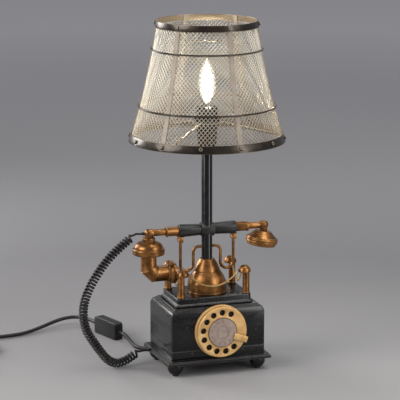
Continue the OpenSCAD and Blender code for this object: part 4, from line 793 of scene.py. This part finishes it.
def turned(node, outline, place=(0, 0, 0), tilt=0, closed=False):
    """Spins an outline, tips it by tilt degrees and puts it in place of its node."""
    verts, faces = lathe(outline, closed)
    c, s = math.cos(math.radians(tilt)), math.sin(math.radians(tilt))
    verts = [(np.array([x * c + z * s, y, z * c - x * s]) + place) * MM for x, y, z in verts]
    data = mesh_of(node + "_turned", [(verts, faces)])
    data.set_sharp_from_angle(angle=CREASE_ANGLE)
    add_piece(node + "_turned", data, body_of_node[node], slot_of_node[node], node)


print("lathe is ready")

# %% [markdown]
# ## Ear cap
# The listening end is a cone that flares down to four stacked ridges, with a recess for the pierced plate
# below. Bevelled cylinders would meet in hard lines; the widest of all discs at each level runs on from
# ridge to ridge.

# %% Ear cap
REACH, HANDSET_Z, EAR_TILT = 87.5, 200.0, 9
EAR_LOW, EAR_TOP, EAR_R, EAR_TOP_R, EAR_LEVELS = -30.0, -9.0, 23.5, 12.5, 170
EAR_LIP, EAR_RECESS, RING_EDGE = 7.5, 4, 1.4
# Radius, lowest level and height of each ridge.
ear_rings = [(EAR_R - 2.6, -30, 4.5), (EAR_R - 0.6, -26.6, 4), (EAR_R, -23, 3.6), (EAR_R - 1.2, -20.6, 3)]
cone_levels, cone_radii = [-21, -19, -10, -9], [0, EAR_R - 2, EAR_TOP_R, EAR_TOP_R - 1]
z = np.linspace(EAR_LOW, EAR_TOP, EAR_LEVELS)
rings = [disc_edge(z, radius, low, height, RING_EDGE) for radius, low, height in ear_rings]
widest = np.max([np.interp(z, cone_levels, cone_radii)] + rings, axis=0)
recess_r, recess_z = EAR_R - EAR_LIP, EAR_LOW + EAR_RECESS
ear_inside = [(0, recess_z), (recess_r, recess_z), (recess_r, EAR_LOW)]
turned("ear_cap", [*ear_inside, *zip(widest, z), (0, EAR_TOP)], (REACH, 0, HANDSET_Z), EAR_TILT)
print("turned the ear cap with", len(rings), "rings")

# %% [markdown]
# ## Mouth cap
# The speaking end is a dome on a deep rim, with a flat knob on top and the horn's pipe in its underside.
# A squashed sphere would swell too low, so the dome is a quarter of an ellipse that stands on the rim.

# %% Mouth cap
MOUTH_R, RIM_LOW, RIM_TOP, RIM_EDGE = 23.0, -30.5, -21.5, 1.8
KNOB_R, KNOB_FOOT, KNOB_TOP, KNOB_EDGE, KNOB_SINK = 9.5, -12.3, -6.3, 1.2, 0.5
CROWN_R, CROWN_SPREAD, CROWN_SINK = 8.5, 12.3, 1
PIPE_R, PIPE_DEPTH, MOUTH_LEVELS = 11.3, 3, 200
z = np.linspace(RIM_LOW, KNOB_TOP, MOUTH_LEVELS)
crown_end = KNOB_FOOT + KNOB_SINK
up = np.clip((z - RIM_TOP) / (crown_end - RIM_TOP), 0, 1)
in_crown = (z > RIM_TOP - CROWN_SINK) & (z < crown_end)
crown = np.where(in_crown, CROWN_R + CROWN_SPREAD * np.sqrt(1 - up**2), 0)
rim = disc_edge(z, MOUTH_R, RIM_LOW, RIM_TOP - RIM_LOW, RIM_EDGE)
knob = disc_edge(z, KNOB_R, KNOB_FOOT, KNOB_TOP - KNOB_FOOT, KNOB_EDGE)
mouth_inside = [(0, RIM_LOW + PIPE_DEPTH), (PIPE_R, RIM_LOW + PIPE_DEPTH), (PIPE_R, RIM_LOW)]
widest = np.max([rim, crown, knob], axis=0)
turned("mouth_cap", [*mouth_inside, *zip(widest, z), (0, KNOB_TOP)], (-REACH, 0, HANDSET_Z))
print("turned the mouth cap,", 2 * MOUTH_R, "mm across")

# %% [markdown]
# ## Bell
# Under the handset sits a bell of three pressed pieces: a drum with a small foot, a skirt that ends in a
# bead, and a dome drawn in to the pole. Each is a thin wall, so its outline is closed and runs back inside.

# %% Bell
TIER_Z, SKIRT_Z, DOME_Z, DOME_TOP = 109.0, 122.5, 139.5, 157.5
DRUM_R, DOME_R, NECK_R, NECK_LIP, WALL = 28.0, 18.75, 7.85, 2.2, 1.8
DRUM_EDGE, FOOT_OUT, FOOT_H, FOOT_EDGE, DRUM_LEVELS = 0.6, 0.8, 1.5, 0.5, 90
SKIRT_SWELL, SKIRT_EDGE, BEAD_R, BEAD_IN = 1.0, 0.6, 0.9, 0.3
DOME_SWELL, DOME_EDGE = 0.9, 0.8
z = np.linspace(TIER_Z, SKIRT_Z, DRUM_LEVELS)
drum_edge = np.maximum(disc_edge(z, DRUM_R, TIER_Z, SKIRT_Z - TIER_Z, DRUM_EDGE),
                       disc_edge(z, DRUM_R + FOOT_OUT, TIER_Z, FOOT_H, FOOT_EDGE))
turned("bell_drum", [(DRUM_R - WALL, SKIRT_Z), (DRUM_R - WALL, TIER_Z), *zip(drum_edge, z)], closed=True)
skirt_edge = arc_edge((DRUM_R, SKIRT_Z), (DOME_R, DOME_Z), SKIRT_SWELL, SKIRT_EDGE)
bead = np.sqrt(np.maximum(BEAD_R**2 - (skirt_edge[:, 1] - DOME_Z + BEAD_R) ** 2, 0))
skirt_edge[:, 0] = np.maximum(skirt_edge[:, 0], np.where(bead > 0, DOME_R - BEAD_IN + bead, 0))
skirt_inside = [(DOME_R - WALL, DOME_Z), (DRUM_R - WALL, SKIRT_Z)]
turned("bell_skirt", [*map(tuple, skirt_edge), *skirt_inside], closed=True)
dome_edge = arc_edge((DOME_R, DOME_Z), (NECK_R + NECK_LIP, DOME_TOP), DOME_SWELL, DOME_EDGE)
dome_inside = [(NECK_R, DOME_TOP), (NECK_R, DOME_TOP - WALL), (DOME_R - WALL, DOME_Z)]
turned("bell_dome", [*map(tuple, dome_edge), *dome_inside], closed=True)
print("turned the bell,", DOME_TOP - TIER_Z, "mm high")

# %% [markdown]
# ## The glowing heart of the bulb
# In the photograph the bulb is alight, and its light washes over the glass as one soft bright spot. The
# filament alone is too thin to be seen at that size, so it is drawn as the spindle of light round it,
# with three paler shells round that, inside the clear glass, so the spot fades out as it does on a pearl
# bulb.

# %% Heart of the bulb
SPINDLE_LEVELS, SPINDLE_SIDES, BELLY_LOW, FULLNESS = 30, 32, 0.85, 0.8
# Finish, lowest level, highest level and radius of each spindle.
spindles = {
    "bulb_heart": ("filament", 382.0, 440.0, 7.6),
    "bulb_inner_glow": ("inner_glow", 381.5, 443.0, 9.4),
    "bulb_middle_glow": ("middle_glow", 381.0, 445.5, 11.0),
    "bulb_outer_glow": ("outer_glow", 380.6, 447.5, 12.4),
}
stands_for = {"bulb_heart": ["bulb_filament"]}
for name, (finish, low, high, radius) in spindles.items():
    u = np.linspace(0, 1, SPINDLE_LEVELS)
    width = radius * np.sin(math.pi * u**BELLY_LOW) ** FULLNESS
    width[[0, -1]] = 0
    verts, faces = lathe(list(zip(width, low + (high - low) * u)), sides=SPINDLE_SIDES)
    data = mesh_of(name, [([v * MM for v in verts], faces)])
    piece = add_piece(name, data, body_of_node["bulb_filament"], "filament", *stands_for.get(name, []))
    piece.data.materials[0] = finishes[finish]
print("heart and glow,", len(spindles), "spindles")

# %% [markdown]
# ## The wire mesh of the shade
# The shade is six panels of expanded metal: a sheet slit and pulled into diamonds, so the strands are
# flat and are wider where they meet. An alpha texture would be quicker but has no thickness from the
# side. Here every strand is swept along its own line on the panel, with the diamonds the same size from
# top to bottom, as in a cut sheet.

# %% Wire mesh
SHADE_TOP, SHADE_H, R_TOP, R_BOTTOM, SAG = 500.0, 171.0, 68.4, 107.9, 3.7
CELL_W, CELL_H, STRAND, BOND, SHEET = 5.7, 6.6, 1.0, 1.6, 0.8
UPRIGHT_ANGLE, PANELS, PANEL_GAP = math.radians(36.5), 6, math.radians(0.3)
MESH_STARTS, MESH_ENDS, MESH_OUT, STRANDS_EACH_WAY, LEAST_POINTS = 9.0, 3.0, 0.5, 50, 3
STRAND_STEP, BOND_STEP, BOND_NEAR = CELL_H / 4, CELL_H / 2, 0.1
slant = math.hypot(SHADE_H, R_BOTTOM - R_TOP)
half_panel = math.pi / PANELS - PANEL_GAP


def side_r(u):
    """Radius of the shade, from 0 at its top to 1 at its bottom."""
    return R_TOP + (R_BOTTOM - R_TOP) * u - 4 * SAG * u * (1 - u)


def mesh_strand(middle, lean, k):
    """Vertices and faces of one strand of a panel, or None where it misses the panel."""
    v = np.arange(MESH_STARTS, slant - MESH_ENDS, STRAND_STEP)
    v = np.round(v / STRAND_STEP) * STRAND_STEP
    u = v / slant
    s = k * CELL_W + lean * CELL_W / CELL_H * (v - slant / 2)
    r = side_r(u)
    keep = np.abs(s) < r * half_panel
    if keep.sum() < LEAST_POINTS:
        return None
    v, u, s, r = v[keep], u[keep], s[keep], r[keep]
    a, level = middle + s / r, np.zeros_like(r)
    out = np.c_[np.cos(a), np.sin(a), level]
    line = out * (r + MESH_OUT)[:, None] + np.c_[level, level, SHADE_TOP - SHADE_H * u]
    ahead = unit(np.gradient(line, axis=0))
    across = unit(np.cross(ahead, out))
    face = np.cross(across, ahead)
    bond = np.abs(np.round(v / BOND_STEP) * BOND_STEP - v) < BOND_NEAR
    wide = np.where(bond, BOND, STRAND)[:, None] / 2
    ring = [line + wide * across, line + SHEET / 2 * face, line - wide * across, line - SHEET / 2 * face]
    return np.stack(ring, axis=1).reshape(-1, 3) * MM, tube_faces(len(line), len(ring))


parts = []
for panel in range(PANELS):
    middle = UPRIGHT_ANGLE + math.pi / PANELS * (2 * panel + 1)
    for lean in (-1, 1):
        strands = [mesh_strand(middle, lean, k) for k in range(-STRANDS_EACH_WAY, STRANDS_EACH_WAY + 1)]
        parts += [strand for strand in strands if strand]
mesh_data = mesh_of("shade_wire_mesh", parts)
add_piece("shade_wire_mesh", mesh_data, "shade", "mesh_cream", "shade_mesh")
print("wire mesh of", len(parts), "strands and", len(mesh_data.polygons), "faces")

# %% [markdown]
# ## Rims of the rivets
# The rivets of the bands are hollow eyelets: a pale rolled rim round a dark middle. The solids give the
# heads, and a small ring is laid on each one for the rim.

# %% Rivet rims
RIVET_OUT, EYELET_R, EYELET_T, EYELET_STEPS, EYELET_SIDES = 5.35, 2.05, 0.42, 24, 6
TOP_ROW, TOP_COUNT, BOTTOM_ROW, BOTTOM_COUNT = 4.5 / SHADE_H, 6, 1 - 5.5 / SHADE_H, 12
places = [(TOP_ROW, 360 / TOP_COUNT * k) for k in range(TOP_COUNT)]
places += [(BOTTOM_ROW, 360 / BOTTOM_COUNT * k) for k in range(BOTTOM_COUNT)]
t = np.linspace(0, 2 * math.pi, EYELET_STEPS + 1)[:, None]
rims = []
for u, turn in places:
    a = UPRIGHT_ANGLE + math.radians(turn)
    lean = math.atan2(R_BOTTOM - R_TOP - 4 * SAG * (1 - 2 * u), SHADE_H)
    out = np.array([math.cos(a) * math.cos(lean), math.sin(a) * math.cos(lean), math.sin(lean)])
    side = np.array([-math.sin(a), math.cos(a), 0])
    up = np.cross(out, side)
    foot = np.array([side_r(u) * math.cos(a), side_r(u) * math.sin(a), SHADE_TOP - SHADE_H * u])
    circle = foot + RIVET_OUT * out + EYELET_R * (np.cos(t) * side + np.sin(t) * up)
    rims.append(tube_rings(circle * MM, EYELET_T * MM, EYELET_SIDES))
add_piece("rivet_rims", mesh_of("rivet_rims", rims), "shade", "upright_beige")
print("rims", len(rims))

# %% [markdown]
# ## Figures on the dial
# The disc carries a faint ring of figures, worn nearly away. An image would be the quick way, but text
# turned into a mesh keeps them real: they lie a hair above the disc, in a tone only a little darker than
# it. A thin dark ring runs round the edge of the disc.

# %% Dial figures
DIAL = Vector((2, -51, 63)) * MM
DISC_FACE, FIRST_HOLE, HOLE_STEP, FIGURES = 12.8, 63, 27.2, 10
FIGURE_SIZE, FIGURE_OUT, FIGURE_THICK = 0.0052, 0.0165, 0.00008
LINE_R, LINE_T, LINE_STEPS, LINE_SIDES = 0.009, 0.00022, 64, 6
DARK_RING_T, DARK_RING_UP, DARK_RING_STEPS, DARK_RING_SIDES = 0.0005, -0.0002, 96, 8


def text_mesh(words):
    made = bpy.data.curves.new("figure", "FONT")
    made.body, made.size, made.extrude = words, FIGURE_SIZE, FIGURE_THICK
    made.align_x, made.align_y = "CENTER", "CENTER"
    holder = bpy.data.objects.new("figure", made)
    data = bpy.data.meshes.new_from_object(holder)
    verts = [v.co.copy() for v in data.vertices]
    faces = [tuple(p.vertices) for p in data.polygons]
    bpy.data.objects.remove(holder)
    return verts, faces


def on_disc(x, y, z):
    """From the dial's own frame, in metres, to the scene's."""
    return DIAL + Vector((x, -(z + DISC_FACE * MM), y))


def ring_on_disc(radius, up, thick, steps, sides):
    angles = [2 * math.pi * k / steps for k in range(steps + 1)]
    points = [on_disc(radius * math.cos(a), radius * math.sin(a), up) for a in angles]
    return tube_rings([tuple(p) for p in points], thick, sides)


print_parts = []
for k in range(FIGURES):
    a = math.radians(FIRST_HOLE + HOLE_STEP * k)
    x, y = FIGURE_OUT * math.cos(a), FIGURE_OUT * math.sin(a)
    verts, faces = text_mesh(str((k + 1) % FIGURES))
    print_parts.append(([on_disc(x + v.x, y + v.y, v.z) for v in verts], faces))
print_parts.append(ring_on_disc(LINE_R, 0, LINE_T, LINE_STEPS, LINE_SIDES))
figures = add_piece("dial_figures", mesh_of("dial_figures", print_parts), "dial", "disc_grey")
figures.data.materials[0] = finishes["dial_print"]
disc_low, disc_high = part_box("centre_disc")
disc_r = (disc_high[0] - disc_low[0]) / 2
# A thin dark ring round the edge of the disc.
dark_ring = ring_on_disc(disc_r, DARK_RING_UP, DARK_RING_T, DARK_RING_STEPS, DARK_RING_SIDES)
add_piece("disc_rim", mesh_of("disc_rim", [dark_ring]), "dial", "bronze")
print("figures on the disc", FIGURES, "and a rim of", round(disc_r / MM, 1), "mm")

# %% [markdown]
# ## Floor and light
# A plain grey floor runs far back, so the whole picture is floor, a little paler near the camera. Six
# soft lamps and a dim sky light the object evenly: a window on the left is the strongest, the others fill
# the right side, give the dark edges their shine and light the back. The bulb adds its own glow to the
# mesh.

# %% Floor
FLOOR_HALF = 30
FRONT_TO_BACK, NEAR_TO_FAR = (-0.7, 0.4), (0.7, 3.9)


def floor_finish():
    f = Finish("floor_grey")
    depth = f.part(f.place(), "Y")
    tone = f.mix(depth.above(*FRONT_TO_BACK), rgb(168, 167, 166), rgb(130, 129, 131))
    away = f.node("ShaderNodeVectorMath", {"operation": "LENGTH"}, {0: f.place()}, "Value")
    tone = f.mix(away.above(*NEAR_TO_FAR), tone, rgb(238, 237, 241))
    f.set(Base_Color=tone, Roughness=0.7, Specular_IOR_Level=0.2)
    return f.material


floor_mesh = bpy.data.meshes.new("floor")
corners = [(x * FLOOR_HALF, y * FLOOR_HALF, 0) for x, y in ((-1, -1), (1, -1), (1, 1), (-1, 1))]
floor_mesh.from_pydata(corners, [], [(0, 1, 2, 3)])
floor_mesh.materials.append(floor_finish())
floor = bpy.data.objects.new("floor", floor_mesh)
scene.collection.objects.link(floor)
floor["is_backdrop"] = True
print("floor laid")

# %% Lights
SKY_TONE, SKY_STRENGTH = rgb(190, 190, 194), 0.5
WARM, SOFT_WARM, PALE, WHITE = (1.0, 0.98, 0.95), (1.0, 0.99, 0.97), (1.0, 1.0, 0.99), (1.0, 1.0, 1.0)
lamps = {
    "left_window": dict(place=(-1.8, -0.3, 1.2), size=(1.4, 1.4), power=24, spread=150, colour=WARM),
    "left_back": dict(place=(-1.1, 1.5, 0.8), size=(1.0, 1.0), power=8, spread=100, colour=SOFT_WARM),
    "right_fill": dict(place=(1.3, -1.4, 1.2), size=(1.2, 1.2), power=5, spread=180, colour=SOFT_WARM),
    "right_strip": dict(place=(0.47, -0.72, 0.5), size=(0.2, 1.0), power=2.6, spread=180,
                        colour=SOFT_WARM),
    "top_box": dict(place=(0.36, -0.25, 1.5), size=(0.7, 0.7), power=8, spread=180, colour=PALE),
    "back_rim": dict(place=(0.9, 1.3, 1.5), size=(0.9, 0.9), power=4, spread=180, colour=WHITE),
}


def soft_lamp(name, place, size, power, spread, colour):
    """An oval lamp that looks at the middle of the object."""
    data = bpy.data.lights.new(name, "AREA")
    data.shape, data.size, data.size_y = "ELLIPSE", *size
    data.energy, data.color, data.spread = power, colour, math.radians(spread)
    lamp = bpy.data.objects.new(name, data)
    lamp.location = place
    lamp.rotation_mode = "QUATERNION"
    lamp.rotation_quaternion = (LOOKS_AT - Vector(place)).to_track_quat("-Z", "Y")
    scene.collection.objects.link(lamp)


scene.world = bpy.data.worlds.new("sky")
scene.world.use_nodes = True
sky = scene.world.node_tree.nodes["Background"]
sky.inputs["Color"].default_value, sky.inputs["Strength"].default_value = SKY_TONE, SKY_STRENGTH
for name, how in lamps.items():
    soft_lamp(name, **how)
print("lights set", len(lamps))

# %% [markdown]
# ## Sizes and the end
# The box of the dressed lamp is printed.

# %% Print the box
low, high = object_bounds()
print("boxes", [round(x, 4) for x in (*low, *high)])
